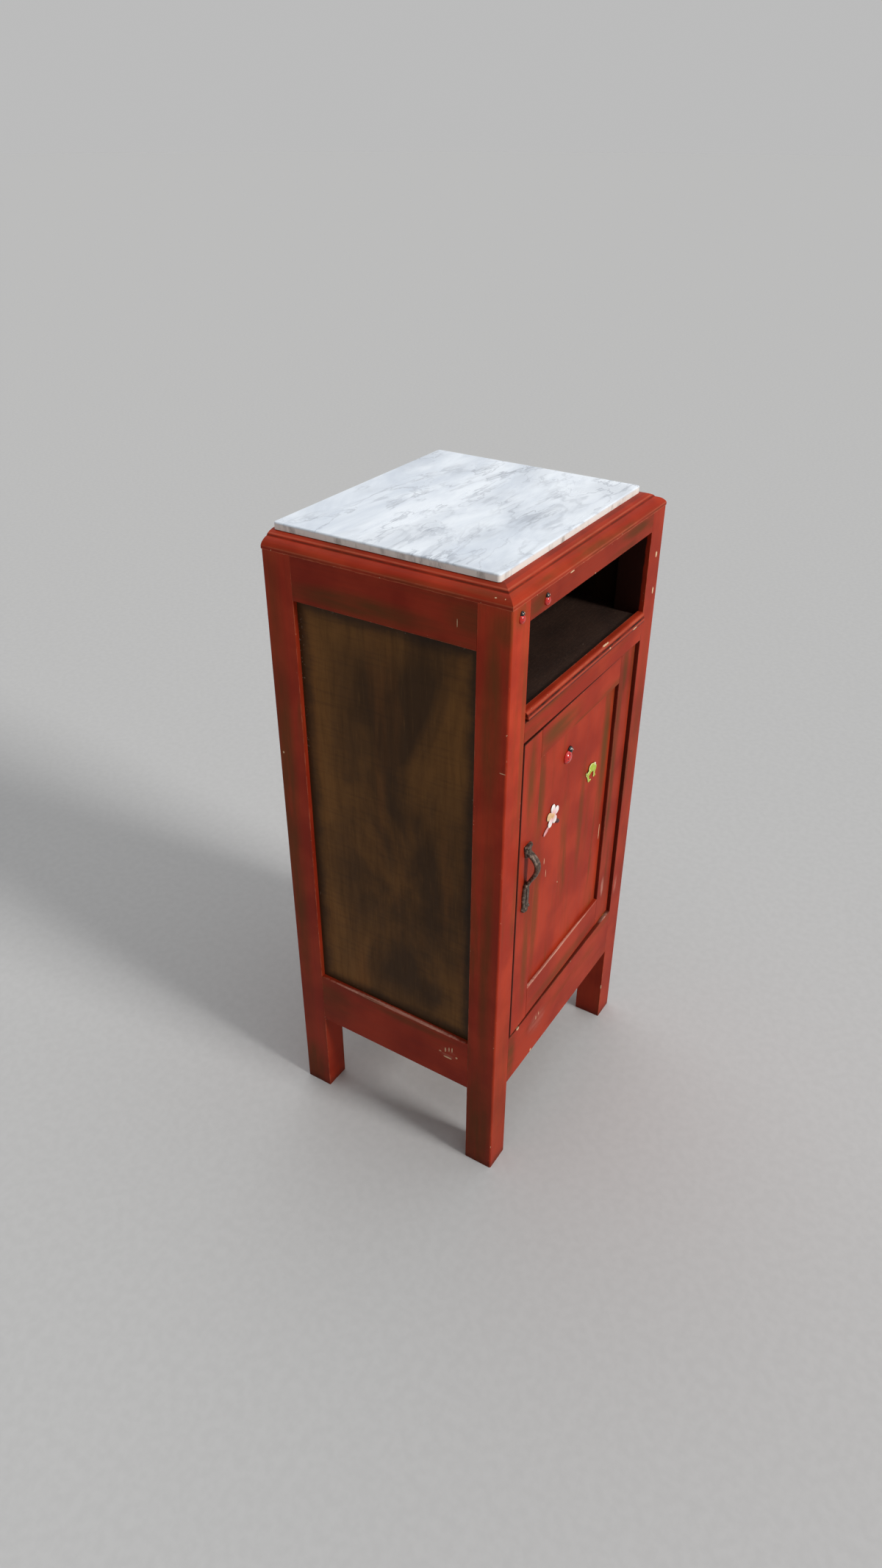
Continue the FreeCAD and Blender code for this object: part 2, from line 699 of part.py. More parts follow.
# Moulded top: two rounded steps outside, a rebate for the board inside
LIP_HEIGHT_SHARE, NOSE_HEIGHT_SHARE, STEP_HEIGHT_SHARE, QUIRK_HEIGHT_SHARE = 0.14, 0.29, 0.66, 0.79
NOSE_IN_SHARE, STEP_IN_SHARE, QUIRK_IN_SHARE, FLAT_IN_SHARE = 0.0133, 0.175, 0.205, 0.37
OVOLO_RADIUS_SHARE, UPPER_RADIUS_SHARE = 0.26, 0.4
nose_in = s.strip_width * NOSE_IN_SHARE
nose_rise = s.top_thickness * (NOSE_HEIGHT_SHARE - LIP_HEIGHT_SHARE)
top_low = s.post_height
inner_edge = s.strip_width - s.rebate_width
rebate_floor = s.top_thickness - s.rebate_depth


def make_moulding(label, at, turn, length, mitres):
    """Strip with its profile inwards along its own X and its length along its own Y."""
    strip = Piece(label, at=at, turn=turn)
    outline = strip.sketch("XZ_Plane", [
        (0, 0),
        (s.strip_width, 0),
        (s.strip_width, rebate_floor),
        (inner_edge, rebate_floor),
        (inner_edge, s.top_thickness),
        (s.strip_width * FLAT_IN_SHARE, s.top_thickness),
        (s.strip_width * QUIRK_IN_SHARE, s.top_thickness * QUIRK_HEIGHT_SHARE),
        (s.strip_width * STEP_IN_SHARE, s.top_thickness * STEP_HEIGHT_SHARE),
        (nose_in, s.top_thickness * NOSE_HEIGHT_SHARE),
        (0, s.top_thickness * LIP_HEIGHT_SHARE),
    ], arcs={
        5: (s.strip_width * UPPER_RADIUS_SHARE, 1),
        7: (s.strip_width * OVOLO_RADIUS_SHARE, 1),
        8: (tangent_radius(nose_in, nose_rise), 1),
    })
    strip.pad(outline, length)
    past = s.cut_overrun
    wide = s.strip_width * DIAGONAL_SHARE
    corners = {
        BACK: ((-past, length / 2 + past, -past), -45),
        FRONT: ((s.strip_width - past, -length / 2 - past - s.strip_width, -past), 45),
    }
    for mitre in mitres:
        corner, angle = corners[mitre]
        strip.primitive("SubtractiveBox", corner, FreeCAD.Rotation(Z_AXIS, angle),
                        Length=wide + past * 3, Width=wide, Height=s.top_thickness + past * 2)


make_moulding("top_moulding_front", (0, -half_depth, top_low), 90, s.case_width, (FRONT, BACK))
make_moulding("top_moulding_left", (-half_width, 0, top_low), 0, s.case_depth, (FRONT,))
make_moulding("top_moulding_right", (half_width, 0, top_low), 180, s.case_depth, (BACK,))
strip_x = half_width - s.strip_width
strip_y = half_depth - s.strip_width
back_strip = Piece("top_back_strip")
back_strip.block((-strip_x, strip_x), (strip_y, half_depth), (top_low, top_low + s.top_thickness))
back_strip.cut((-strip_x, strip_x), (strip_y - s.cut_overrun, strip_y + s.rebate_width),
               (top_low + rebate_floor, top_low + s.top_thickness + s.cut_overrun))
back_strip.block((-strip_x - s.rebate_width, strip_x + s.rebate_width),
                 (strip_y + s.rebate_width, half_depth), (top_low + rebate_floor, top_low + s.top_thickness))
board_x = half_width - inner_edge - s.board_play
board_y = half_depth - inner_edge - s.board_play
sub_top = Piece("sub_top")
sub_top.block((-board_x, board_x), (-board_y, board_y), (top_low + rebate_floor, top_low + s.top_thickness))

# Marble slab
slab_low = top_low + s.top_thickness
slab_back = half_depth - s.marble_back_inset
marble = Piece("marble_top")
marble.block(span(-s.marble_shift, s.case_width - 2 * s.marble_side_inset),
             (-half_depth + s.marble_front_inset, slab_back), (slab_low, slab_low + s.marble_thickness))
marble.ease(s.marble_corner_round, along("z"))
marble.ease(s.marble_edge_round, lambda edge, box: edge.BoundBox.ZMin > box.ZMax - s.marble_edge_round.value)

# Stop strip and magnetic catch inside the door's closing edge
door_stop = Piece("door_stop")
door_stop.block((-inner_x, stop_inner), (stop_front, stop_front + s.stop_depth),
                (bottom_rail[1], middle_rail[0]))
stop_screws = Piece("stop_screws")
for z in stop_screw_z:
    door_stop.seat((stop_inner, stop_mid, z), "-x", long_screw)
    stop_screws.screw((stop_inner, stop_mid, z), "-x", long_screw)
catch = Piece("catch_magnet")
catch.block((stop_inner, stop_inner + s.catch_width), (stop_front, stop_front + s.stop_depth),
            span(catch_middle, s.catch_height))
catch.ease(s.catch_round, along("y", {"x": RIGHT}))
catch_screws = Piece("catch_screws")
for z in catch_screw_z:
    spot = (stop_inner + s.catch_width, stop_mid, z)
    catch.seat(spot, "-x", long_screw)
    door_stop.pilot(spot, "-x", long_screw)
    catch_screws.screw(spot, "-x", long_screw)

# Door: every piece is laid out from the pivot axis and stands ajar
DOOR = {"at": (pivot_x, pivot_y, 0), "turn": s.door_ajar_angle}
door_rails = [(door_low, opening_low), (opening_high, door_high)]
door_tenons = [
    (door_low + s.tenon_shoulder, opening_low - door_edge),
    (opening_high + door_edge, door_high - s.tenon_shoulder),
]
stiles = {}
for side, side_name in ((LEFT, "left"), (RIGHT, "right")):
    stile = stiles[side] = Piece(f"door_stile_{side_name}", **DOOR)
    stile_x = (door_left, opening_left) if side == LEFT else (opening_right, door_right)
    stile.block(stile_x, (door_front, door_back), (door_low, door_high))
    stile.ease(s.edge_round, along("z", {"y": FRONT}))
    inner_face = opening_left if side == LEFT else opening_right
    for tenon in door_tenons:
        deep = s.door_tenon_length + s.mortise_play
        stile.cut((inner_face - (deep if side == LEFT else s.cut_overrun),
                   inner_face + (s.cut_overrun if side == LEFT else deep)), door_tongue, tenon)
    stile.cut((inner_face - (s.door_groove if side == LEFT else s.cut_overrun),
               inner_face + (s.cut_overrun if side == LEFT else s.door_groove)), door_tongue,
              (opening_low - door_edge, opening_high + door_edge))
door_grooves = [
    (opening_low - s.door_groove, opening_low + s.cut_overrun),
    (opening_high - s.cut_overrun, opening_high + s.door_groove),
]
for name, height, tenon, groove in zip(("bottom", "top"), door_rails, door_tenons, door_grooves):
    rail = Piece(f"door_{name}_rail", **DOOR)
    rail.block((opening_left, opening_right), (door_front, door_back), height)
    rail.ease(s.edge_round, along("x", {"y": FRONT}))
    rail.block((opening_left - s.door_tenon_length, opening_right + s.door_tenon_length), door_tongue, tenon)
    rail.cut((opening_left, opening_right), door_tongue, groove)
door_reach = s.door_groove - s.panel_play
door_panel = Piece("door_panel", **DOOR)
door_panel.block((opening_left - door_reach, opening_right + door_reach), door_tongue,
                 (opening_low - door_reach, opening_high + door_reach))

# Bushes in the hinge stile; the lower one has a flange the door rests on
for end, edge, inward, away in (("top", door_high, "-z", "+z"), ("bottom", door_low, "+z", "-z")):
    stiles[RIGHT].bore((0, 0, edge), inward, s.bush_radius, s.bush_length)
    bush = Piece(f"pivot_bush_{end}", **DOOR)
    bush.rod((0, 0, edge), inward, s.bush_radius, s.bush_length)
    if end == "bottom":
        bush.rod((0, 0, edge), away, s.flange_radius, s.door_gap_bottom - s.flange_clearance)
    for way, depth in ((inward, s.bush_length), (away, s.door_gap_bottom)):
        bush.bore((0, 0, edge), way, s.pin_radius + s.pin_fit, depth)

# Strike plate let into the back of the closing stile
strike = Piece("strike_plate", **DOOR)
strike_at = (span(strike_x, s.strike_width), (door_back - s.strike_thickness, door_back),
             span(catch_middle, s.strike_height))
strike.block(*strike_at)
stiles[LEFT].cut(strike_at[0], (door_back - s.strike_thickness, door_back + s.cut_overrun), strike_at[2])
strike_screws = Piece("strike_screws", **DOOR)
for z in strike_screw_z:
    spot = (strike_x, door_back, z)
    strike.seat(spot, "-y", short_screw)
    stiles[LEFT].pilot(spot, "-y", short_screw)
    strike_screws.screw(spot, "-y", short_screw)

# Iron bow pull: outline of the bow from the side, leaves from the front
OUTER_ROOT_SHARES, INNER_ROOT_SHARES = (0.36, 0.885), (0.43, 0.81)
OUTER_PEAK_SHARE, INNER_PEAK_SHARE = 0.71, 0.69
inner_reach = s.pull_reach - s.bow_thickness
pull = Piece("door_pull", **DOOR)
bow_points = [
    (0, s.pull_height * OUTER_ROOT_SHARES[0]),
    (-s.pull_reach, s.pull_height * OUTER_PEAK_SHARE),
    (0, s.pull_height * OUTER_ROOT_SHARES[1]),
    (0, s.pull_height * INNER_ROOT_SHARES[1]),
    (-inner_reach, s.pull_height * INNER_PEAK_SHARE),
    (0, s.pull_height * INNER_ROOT_SHARES[0]),
]
bow_arcs = {
    0: (tangent_radius(s.pull_reach, s.pull_height * (OUTER_PEAK_SHARE - OUTER_ROOT_SHARES[0])), -1),
    1: (tangent_radius(s.pull_reach, s.pull_height * (OUTER_ROOT_SHARES[1] - OUTER_PEAK_SHARE)), -1),
    3: (tangent_radius(inner_reach, s.pull_height * (INNER_ROOT_SHARES[1] - INNER_PEAK_SHARE)), 1),
    4: (tangent_radius(inner_reach, s.pull_height * (INNER_PEAK_SHARE - INNER_ROOT_SHARES[0])), 1),
}
bow = pull.sketch("YZ_Plane", bow_points, bow_arcs, offset=(door_front, pull_z, pull_x))
pull.pad(bow, s.bow_width)
pull.bevel(s.bow_bevel, lambda edge, box: edge.Curve.TypeId == "Part::GeomCircle")

# Leaves, collar, knob and rolled tip, forged together with the bow
LOWER_MIDDLE_SHARE, LOWER_LONG_SHARE, UPPER_MIDDLE_SHARE = 0.46, 0.8, 0.48
NECK_MIDDLE_SHARE, NECK_LONG_SHARE, NECK_WIDE_SHARE = 0.85, 0.6, 0.48
leaf_tops = {
    "lower": pull_z + s.lower_leaf_length * LOWER_MIDDLE_SHARE,
    "upper": pull_z + s.pull_height - s.upper_leaf_length * UPPER_MIDDLE_SHARE,
}
collar_z = pull_z + s.lower_leaf_length - s.collar_height
pull.leaf((pull_x, door_front, leaf_tops["lower"]), s.lower_leaf_length * LOWER_LONG_SHARE,
          s.lower_leaf_width, s.leaf_thickness)
pull.leaf((pull_x, door_front, pull_z + s.lower_leaf_length * NECK_MIDDLE_SHARE),
          s.lower_leaf_length * NECK_LONG_SHARE, s.lower_leaf_width * NECK_WIDE_SHARE, s.leaf_thickness)
pull.leaf((pull_x, door_front, leaf_tops["upper"]), s.upper_leaf_length, s.upper_leaf_width, s.leaf_thickness)
pull.cap((pull_x, door_front, pull_z + s.knob_radius), s.knob_radius, s.knob_reach)
collar_at = (pull_x - s.collar_width / 2, door_front - s.collar_reach + s.collar_height / 2, collar_z)
pull.prism("AdditivePrism", collar_at, "+x", HEAD_SIDES, s.collar_height / 2, s.collar_width)
roll_at = (pull_x - s.roll_width / 2, door_front - s.roll_radius, pull_z + s.pull_height - s.roll_radius)
pull.prism("AdditivePrism", roll_at, "+x", HEAD_SIDES, s.roll_radius, s.roll_width)
pull.cut((pull_x - s.lower_leaf_width, pull_x + s.lower_leaf_width),
         (door_front, door_front + s.collar_reach * 2),
         (pull_z - s.cut_overrun, pull_z + s.pull_height + s.cut_overrun))

# Round-headed nails that hold the pull
pull_nails = Piece("pull_nails", **DOOR)
nail_seat = door_front - s.leaf_thickness + s.nail_sink
nail = SimpleNamespace(radius=s.small_screw_radius, length=s.small_screw_length)
for z in leaf_tops.values():
    spot = (pull_x, nail_seat, z)
    pull_nails.boss(spot, s.nail_radius, s.nail_dome)
    pull_nails.prism("AdditivePrism", spot, "+y", SHANK_SIDES, nail.radius, nail.length)
    pull.prism("SubtractivePrism", spot, "-y", HEAD_SIDES, s.nail_radius + s.screw_fit, s.pull_reach)
    pull.pilot(spot, "+y", nail)
    stiles[LEFT].pilot(spot, "+y", nail)

# Ladybirds: a boss for the wing cases, and one for the head that overlaps its upper end
BODY_SHARE, HEAD_SHARE, BODY_OUT_SHARE, HEAD_OUT_SHARE, HEAD_REACH_SHARE = 0.373, 0.236, 0.127, 0.264, 0.75


def add_ladybird(piece, at, length, reach, turn=0):
    x, face, z = at
    lean_shares = (math.sin(math.radians(turn)), math.cos(math.radians(turn)))
    for out_share, round_share, reach_share in ((-BODY_OUT_SHARE, BODY_SHARE, 1),
                                                (HEAD_OUT_SHARE, HEAD_SHARE, HEAD_REACH_SHARE)):
        spot = (x + length * out_share * lean_shares[0], face, z + length * out_share * lean_shares[1])
        piece.boss(spot, length * round_share, reach * reach_share)


def on_panel(across_share, up_share):
    return (opening_left + (opening_right - opening_left) * across_share, figure_face,
            opening_low + (opening_high - opening_low) * up_share)


LADYBIRD_PLACE_SHARES = ((0.047, 0.48), (0.187, 0.5))
ladybirds = Piece("frame_ladybirds")
for across_share, up_share in LADYBIRD_PLACE_SHARES:
    spot = (-half_width + s.case_width * across_share, -half_depth,
            front_top_rail[0] + s.front_top_rail_height * up_share)
    add_ladybird(ladybirds, spot, s.small_ladybird_length, s.small_ladybird_height)
DOOR_LADYBIRD_SHARES, DOOR_LADYBIRD_TURN = (0.385, 0.889), 38
door_ladybird = Piece("door_ladybird", **DOOR)
spot = on_panel(*DOOR_LADYBIRD_SHARES)
add_ladybird(door_ladybird, spot, s.large_ladybird_length, s.large_ladybird_height, DOOR_LADYBIRD_TURN)

# Squatting frog from the side, cut from a flat sheet: bars and their widths, as shares of its length
FROG_PLACE_SHARES = (0.752, 0.708)
FROG_BAR_SHARES = [
    (-0.16, -0.14, 0.14, 0.12, 0.44),
    (0.2, 0.22, 0.34, 0.18, 0.28),
    (0.17, 0.37, 0.2, 0.37, 0.15),
    (-0.28, -0.22, -0.06, -0.2, 0.26),
    (-0.34, -0.38, -0.02, -0.4, 0.12),
    (0.2, 0.0, 0.25, -0.38, 0.13),
    (0.25, -0.4, 0.38, -0.4, 0.1),
]
frog = Piece("frog_figure", **DOOR)
frog_at = on_panel(*FROG_PLACE_SHARES)


def frog_point(across_share, up_share):
    return (frog_at[0] + s.frog_length * across_share, frog_at[2] + s.frog_length * up_share)


for x_share, z_share, end_x_share, end_z_share, wide_share in FROG_BAR_SHARES:
    frog.bar(frog_point(x_share, z_share), frog_point(end_x_share, end_z_share), s.frog_length * wide_share,
             figure_face, s.frog_height)

# Flower: ring of flat petals about a raised heart, with a leaf on each side below
PETALS = 5
FLOWER_PLACE_SHARES = (0.23, 0.692)
PETAL_SHARES, PETAL_WIDE_SHARE, HEART_SHARE = (0.16, 0.34), 0.32, 0.15
STEM_SHARES = [(-0.3, -0.36, -0.62, -0.5, 0.18), (0.3, -0.38, 0.56, -0.58, 0.18)]
flower = Piece("flower_figure", **DOOR)
flower_at = on_panel(*FLOWER_PLACE_SHARES)


def flower_point(across_share, up_share):
    return (flower_at[0] + s.flower_width * across_share, flower_at[2] + s.flower_width * up_share)


flower.boss(flower_at, s.flower_width * HEART_SHARE, s.flower_heart_height)
for petal in range(PETALS):
    turn = math.radians(360 / PETALS * petal)
    near, far = [flower_point(share * math.sin(turn), share * math.cos(turn)) for share in PETAL_SHARES]
    flower.bar(near, far, s.flower_width * PETAL_WIDE_SHARE, figure_face, s.flower_height)
for x_share, z_share, end_x_share, end_z_share, wide_share in STEM_SHARES:
    flower.bar(flower_point(x_share, z_share), flower_point(end_x_share, end_z_share),
               s.flower_width * wide_share, figure_face, s.flower_height)

# Check and write every piece
doc.recompute()
for thing in doc.Objects:
    if "Invalid" in thing.State or "Error" in thing.State:
        raise RuntimeError(f"{thing.Name} did not build: {thing.State}")
os.makedirs("parts", exist_ok=True)
for body in pieces:
    if body.Shape.isNull() or not body.Shape.isValid():
        raise RuntimeError(f"{body.Label} has no valid shape")
    body.Shape.exportStep(f"parts/{body.Label}.step")
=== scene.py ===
import math
from functools import reduce
import bmesh
import bpy
from mathutils import Matrix, Vector, noise


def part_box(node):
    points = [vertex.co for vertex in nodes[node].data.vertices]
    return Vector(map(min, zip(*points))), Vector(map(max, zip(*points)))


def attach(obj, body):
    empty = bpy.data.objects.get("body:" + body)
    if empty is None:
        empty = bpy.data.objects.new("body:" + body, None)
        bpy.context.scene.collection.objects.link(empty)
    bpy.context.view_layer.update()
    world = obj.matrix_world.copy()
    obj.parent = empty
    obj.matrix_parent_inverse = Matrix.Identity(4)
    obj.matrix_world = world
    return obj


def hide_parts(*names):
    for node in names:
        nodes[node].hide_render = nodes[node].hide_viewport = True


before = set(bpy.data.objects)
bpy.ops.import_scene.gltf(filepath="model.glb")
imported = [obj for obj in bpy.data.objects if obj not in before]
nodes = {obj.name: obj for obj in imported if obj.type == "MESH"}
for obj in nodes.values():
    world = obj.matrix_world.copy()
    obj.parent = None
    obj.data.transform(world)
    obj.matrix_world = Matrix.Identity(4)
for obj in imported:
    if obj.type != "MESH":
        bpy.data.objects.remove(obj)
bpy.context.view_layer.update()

# Sockets of a Mix node that carry colours: two inputs and the output
MIX_FIRST, MIX_SECOND, MIX_RESULT = 6, 7, 2


def srgb(red, green, blue):
    """Linear colour from screen values of 0 to 255."""
    def linear(value):
        value /= 255
        return value / 12.92 if value <= 0.04045 else ((value + 0.055) / 1.055) ** 2.4
    return (linear(red), linear(green), linear(blue), 1.0)


class Net:
    """A node tree with short words for the nodes that the looks use."""

    def __init__(self, tree):
        self.tree = tree
        self.tree.nodes.clear()

    def node(self, kind, **settings):
        node = self.tree.nodes.new(kind if kind.startswith("Node") else "ShaderNode" + kind)
        for name, value in settings.items():
            setattr(node, name, value)
        return node

    def feed(self, socket, value):
        """Link a socket to another one, or set its value."""
        if isinstance(value, bpy.types.NodeSocket):
            self.tree.links.new(value, socket)
        else:
            socket.default_value = value

    def fill(self, node, values):
        """Feed a node's sockets in their order."""
        for socket, value in zip(node.inputs, values):
            self.feed(socket, value)
        return node

    def place(self):
        return self.node("TexCoord").outputs["Object"]

    def math(self, operation, *values, clamp=False):
        return self.fill(self.node("Math", operation=operation, use_clamp=clamp), values).outputs[0]

    def fold(self, operation, values):
        """One value from several, by an operation on two."""
        return reduce(lambda first, second: self.math(operation, first, second), values)

    def total(self, *values):
        return self.fold("ADD", values)

    def minus(self, first, second):
        return self.math("SUBTRACT", first, second)

    def times(self, *values):
        return self.fold("MULTIPLY", values)

    def most(self, *values):
        return self.fold("MAXIMUM", values)

    def least(self, *values):
        return self.fold("MINIMUM", values)

    def size(self, value):
        return self.math("ABSOLUTE", value)

    def vector(self, operation, *values):
        node = self.fill(self.node("VectorMath", operation=operation), values)
        return node.outputs["Value" if operation in ("LENGTH", "DISTANCE") else "Vector"]

    def split(self, vector):
        return list(self.fill(self.node("SeparateXYZ"), [vector]).outputs)

    def join(self, *parts):
        return self.fill(self.node("CombineXYZ"), parts).outputs[0]

    def gray(self, value):
        return self.fill(self.node("CombineColor"), [value] * 3).outputs[0]

    def noise(self, place, scale, seed=0.0, detail=3.0, roughness=0.6, distortion=0.0):
        node = self.node("TexNoise", noise_dimensions="4D")
        values = {"Vector": place, "W": seed, "Scale": scale, "Detail": detail, "Roughness": roughness,
                  "Distortion": distortion}
        for name, value in values.items():
            self.feed(node.inputs[name], value)
        return node.outputs["Fac"]

    def stretched(self, place, scales, seed, **settings):
        """Noise with a scale of its own along x, y and z."""
        return self.noise(self.vector("MULTIPLY", place, scales), 1.0, seed, **settings)

    def step(self, value, low, high, start=0.0, end=1.0):
        """Smooth step of a value between two limits."""
        node = self.node("MapRange", interpolation_type="SMOOTHSTEP")
        return self.fill(node, (value, low, high, start, end)).outputs["Result"]

    def fall(self, value, low, high):
        """Smooth step down, from 1 at the low limit to 0 at the high one."""
        return self.step(value, low, high, 1.0, 0.0)

    def mix(self, factor, first, second, blend="MIX"):
        node = self.node("Mix", data_type="RGBA", blend_type=blend)
        self.feed(node.inputs["Factor"], factor)
        self.feed(node.inputs[MIX_FIRST], first)
        self.feed(node.inputs[MIX_SECOND], second)
        return node.outputs[MIX_RESULT]

    def coat(self, color, shade, value, low, high, strength):
        """A colour with a shade laid over it, where a value steps up between two limits."""
        return self.mix(self.times(self.step(value, low, high), strength), color, shade)

    def inside(self, place, low, high):
        """How far a point lies inside a box, along x, y and z."""
        from_low = self.split(self.vector("SUBTRACT", place, low))
        from_high = self.split(self.vector("SUBTRACT", high, place))
        return [self.least(*pair) for pair in zip(from_low, from_high)]

    def spot(self, place, centre, half, soft=0.8, ragged=0.0, seed=0.0):
        """Mask of a rounded patch about a point, 1 inside, with half sizes along x, y and z."""
        far = self.vector("LENGTH", self.vector("DIVIDE", self.vector("SUBTRACT", place, centre), half))
        if ragged:
            wobble = self.noise(place, 0.7 / min(half), seed)
            far = self.total(far, self.times(self.minus(wobble, 0.5), ragged))
        return self.fall(far, soft, 1.0)


class Look(Net):
    def __init__(self, name):
        self.material = bpy.data.materials.new(name)
        self.material.use_nodes = True
        super().__init__(self.material.node_tree)

    def finish(self, color, roughness, height=None, bump=0.0, depth=0.0004, specular=0.5, **constants):
        shader = self.node("BsdfPrincipled")
        self.feed(shader.inputs["Base Color"], color)
        self.feed(shader.inputs["Roughness"], roughness)
        shader.inputs["Specular IOR Level"].default_value = specular
        for name, value in constants.items():
            shader.inputs[name.replace("_", " ")].default_value = value
        if height is not None:
            relief = self.node("Bump")
            relief.inputs["Strength"].default_value = bump
            relief.inputs["Distance"].default_value = depth
            self.feed(relief.inputs["Height"], height)
            self.feed(shader.inputs["Normal"], relief.outputs["Normal"])
        self.feed(self.node("OutputMaterial").inputs["Surface"], shader.outputs["BSDF"])
        return self.material


def dress(material, *names):
    """Give CAD nodes one material."""
    for name in names:
        slots = nodes[name].data.materials
        slots.clear()
        slots.append(material)


# Red paint, rubbed through to brown, on every rail, post, stile and moulding, and on the door's panel
RED = srgb(166, 53, 28)
DEEP_RED = srgb(144, 40, 20)
RUBBED = srgb(92, 60, 27)
# Pale red for worn edges, and for painted highlights along the beads of the mouldings and nosing
PALE_RED = srgb(188, 100, 72)
SCUFFED = srgb(206, 158, 140)
BARE_WOOD = srgb(214, 182, 146)
# Dark brown for dirt at the feet, for painted shade in gaps and grooves, and for painted shadow under the
# marble and nosing
GRIME_AND_SHADE = srgb(44, 22, 15)
STAIN = srgb(31, 20, 15)
# Noise scales along and across the grain, for patches and for brush hairs
LONG_GRAIN, CROSS_GRAIN = 4.5, 30.0
FINE_LONG, FINE_CROSS = 14.0, 420.0
# How far wear reaches in from a box's edges
EDGE_WEAR = 0.0015


def paint_group():
    """Paint with patches and brush strokes along the grain, and wear at a box's edges."""
    group = bpy.data.node_groups.new("rubbed_paint", "ShaderNodeTree")
    for way, kind, names in (("INPUT", "Vector", "Low High Broad Fine"),
                             ("INPUT", "Float", "Seed Rubbing Wear Tone"),
                             ("OUTPUT", "Color", "Color"), ("OUTPUT", "Float", "Roughness Height")):
        for name in names.split():
            group.interface.new_socket(name, in_out=way, socket_type="NodeSocket" + kind)
    net = Net(group)
    given = net.node("NodeGroupInput").outputs
    place = net.place()
    seed = given["Seed"]
    broad = net.vector("MULTIPLY", place, given["Broad"])
    fine = net.vector("MULTIPLY", place, given["Fine"])
    x, y, z = net.inside(place, given["Low"], given["High"])
    edge = net.most(net.least(x, y), net.least(net.most(x, y), z))
    patches = net.noise(broad, 1.0, seed, detail=4.0, roughness=0.55, distortion=0.4)
    strokes = net.noise(broad, 3.1, net.total(seed, 7.0))
    grain = net.noise(fine, 1.0, seed)
    cloud = net.noise(place, 16.0, seed, roughness=0.5)
    speck = net.noise(place, 900.0, seed, detail=2.0, roughness=0.5)
    ragged = net.noise(place, 70.0, net.total(seed, 3.0), detail=4.0, roughness=0.65)
    spots = net.noise(place, 320.0, net.total(seed, 11.0), detail=2.0, roughness=0.5)
    # Rubbed through by chance, and where the marks of a node ask for it
    near_edge = net.step(edge, 0.002, 0.014, 0.05, 0.0)
    thin = net.step(net.total(patches, net.times(strokes, 0.35), near_edge), 0.7, 1.02)
    streaks = net.total(net.times(patches, 0.5), net.times(strokes, 0.5))
    broken = net.times(given["Rubbing"], net.step(streaks, 0.3, 0.6, 0.35, 1.0))
    rubbed = net.times(net.most(net.times(thin, 0.85), broken), 0.95)
    color = net.mix(net.step(cloud, 0.35, 0.65), DEEP_RED, RED)
    color = net.mix(rubbed, color, RUBBED)
    # Grain tone, times the painted light and shade given for the node
    tone = net.times(net.total(net.times(grain, 0.36), net.times(speck, 0.1), 0.77), given["Tone"])
    color = net.mix(1.0, color, net.gray(tone), "MULTIPLY")
    # Pale along the edges, with bare spots, and dirty at the feet
    reach = net.times(net.step(ragged, 0.4, 0.75, 0.15, 1.0), given["Wear"])
    worn = net.fall(edge, net.times(reach, 0.45), reach)
    color = net.mix(net.times(worn, 0.5), color, PALE_RED)
    bare = net.times(net.step(spots, 0.69, 0.74), net.fall(edge, 0.001, 0.0035))
    color = net.mix(net.times(bare, 0.8), color, BARE_WOOD)
    foot = net.total(net.split(place)[2], net.times(ragged, -0.02))
    color = net.mix(net.step(foot, -0.01, 0.004, 0.5, 0.0), color, GRIME_AND_SHADE)
    rough = net.total(0.44, net.times(rubbed, 0.14), net.times(grain, 0.12))
    height = net.minus(grain, net.times(bare, 0.6))
    net.fill(net.node("NodeGroupOutput"), (color, rough, height))
    return group


PAINT = paint_group()

# Levels of the case that the marks are set out from
left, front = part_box("post_front_left")[0].xy
right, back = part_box("post_back_right")[1].xy
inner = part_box("post_front_right")[0].x
shelf_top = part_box("niche_shelf")[1].z
niche_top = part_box("front_top_rail")[0].z
strip_low, strip_high = [corner.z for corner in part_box("top_moulding_front")]
middle_low, middle_high = [corner.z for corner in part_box("front_middle_rail")]
door_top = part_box("door_top_rail")[1].z
side_level = sum(corner.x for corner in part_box("side_panel_right")) / 2
back_level = sum(corner.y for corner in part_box("back_panel")) / 2
DOOR_FRONT, PANEL_FRONT = -0.139, -0.1345

# Painted light and shade: a node's paint made darker or lighter for how light falls on it; a pair gives the
# floor and the top of a post, darker towards the floor
PAINTED_LIGHT = {
    "door_stile_right": 0.82, "front_top_rail": 0.74, "front_bottom_rail": 0.9, "door_bottom_rail": 0.9,
    "side_top_rail_left": 0.8, "side_bottom_rail_left": 0.83, "post_front_right": (0.84, 0.94),
    "post_front_left": (0.92, 1.26), "post_back_left": (0.95, 1.2),
}
# Share of that painted light on the side faces of posts, which paints them in shade
SIDE_SHADE_SHARE = 0.86
# How deep marks reach into the wood: rubbed patches of the case, its chips, and all marks of the door
RUB, CHIP, DOOR = 0.004, 0.003, 0.006


def on_side(x, depth, *rows):
    """Marks on a face across x: centres and half sizes from rows of y, z and half sizes, and what follows."""
    return [((x, y, z), (depth, wide, tall), *rest) for y, z, wide, tall, *rest in rows]


def on_front(y, depth, *rows):
    """Marks on a face across y, front or back, from rows of x, z and half sizes, and what follows."""
    return [((x, y, z), (wide, depth, tall), *rest) for x, z, wide, tall, *rest in rows]


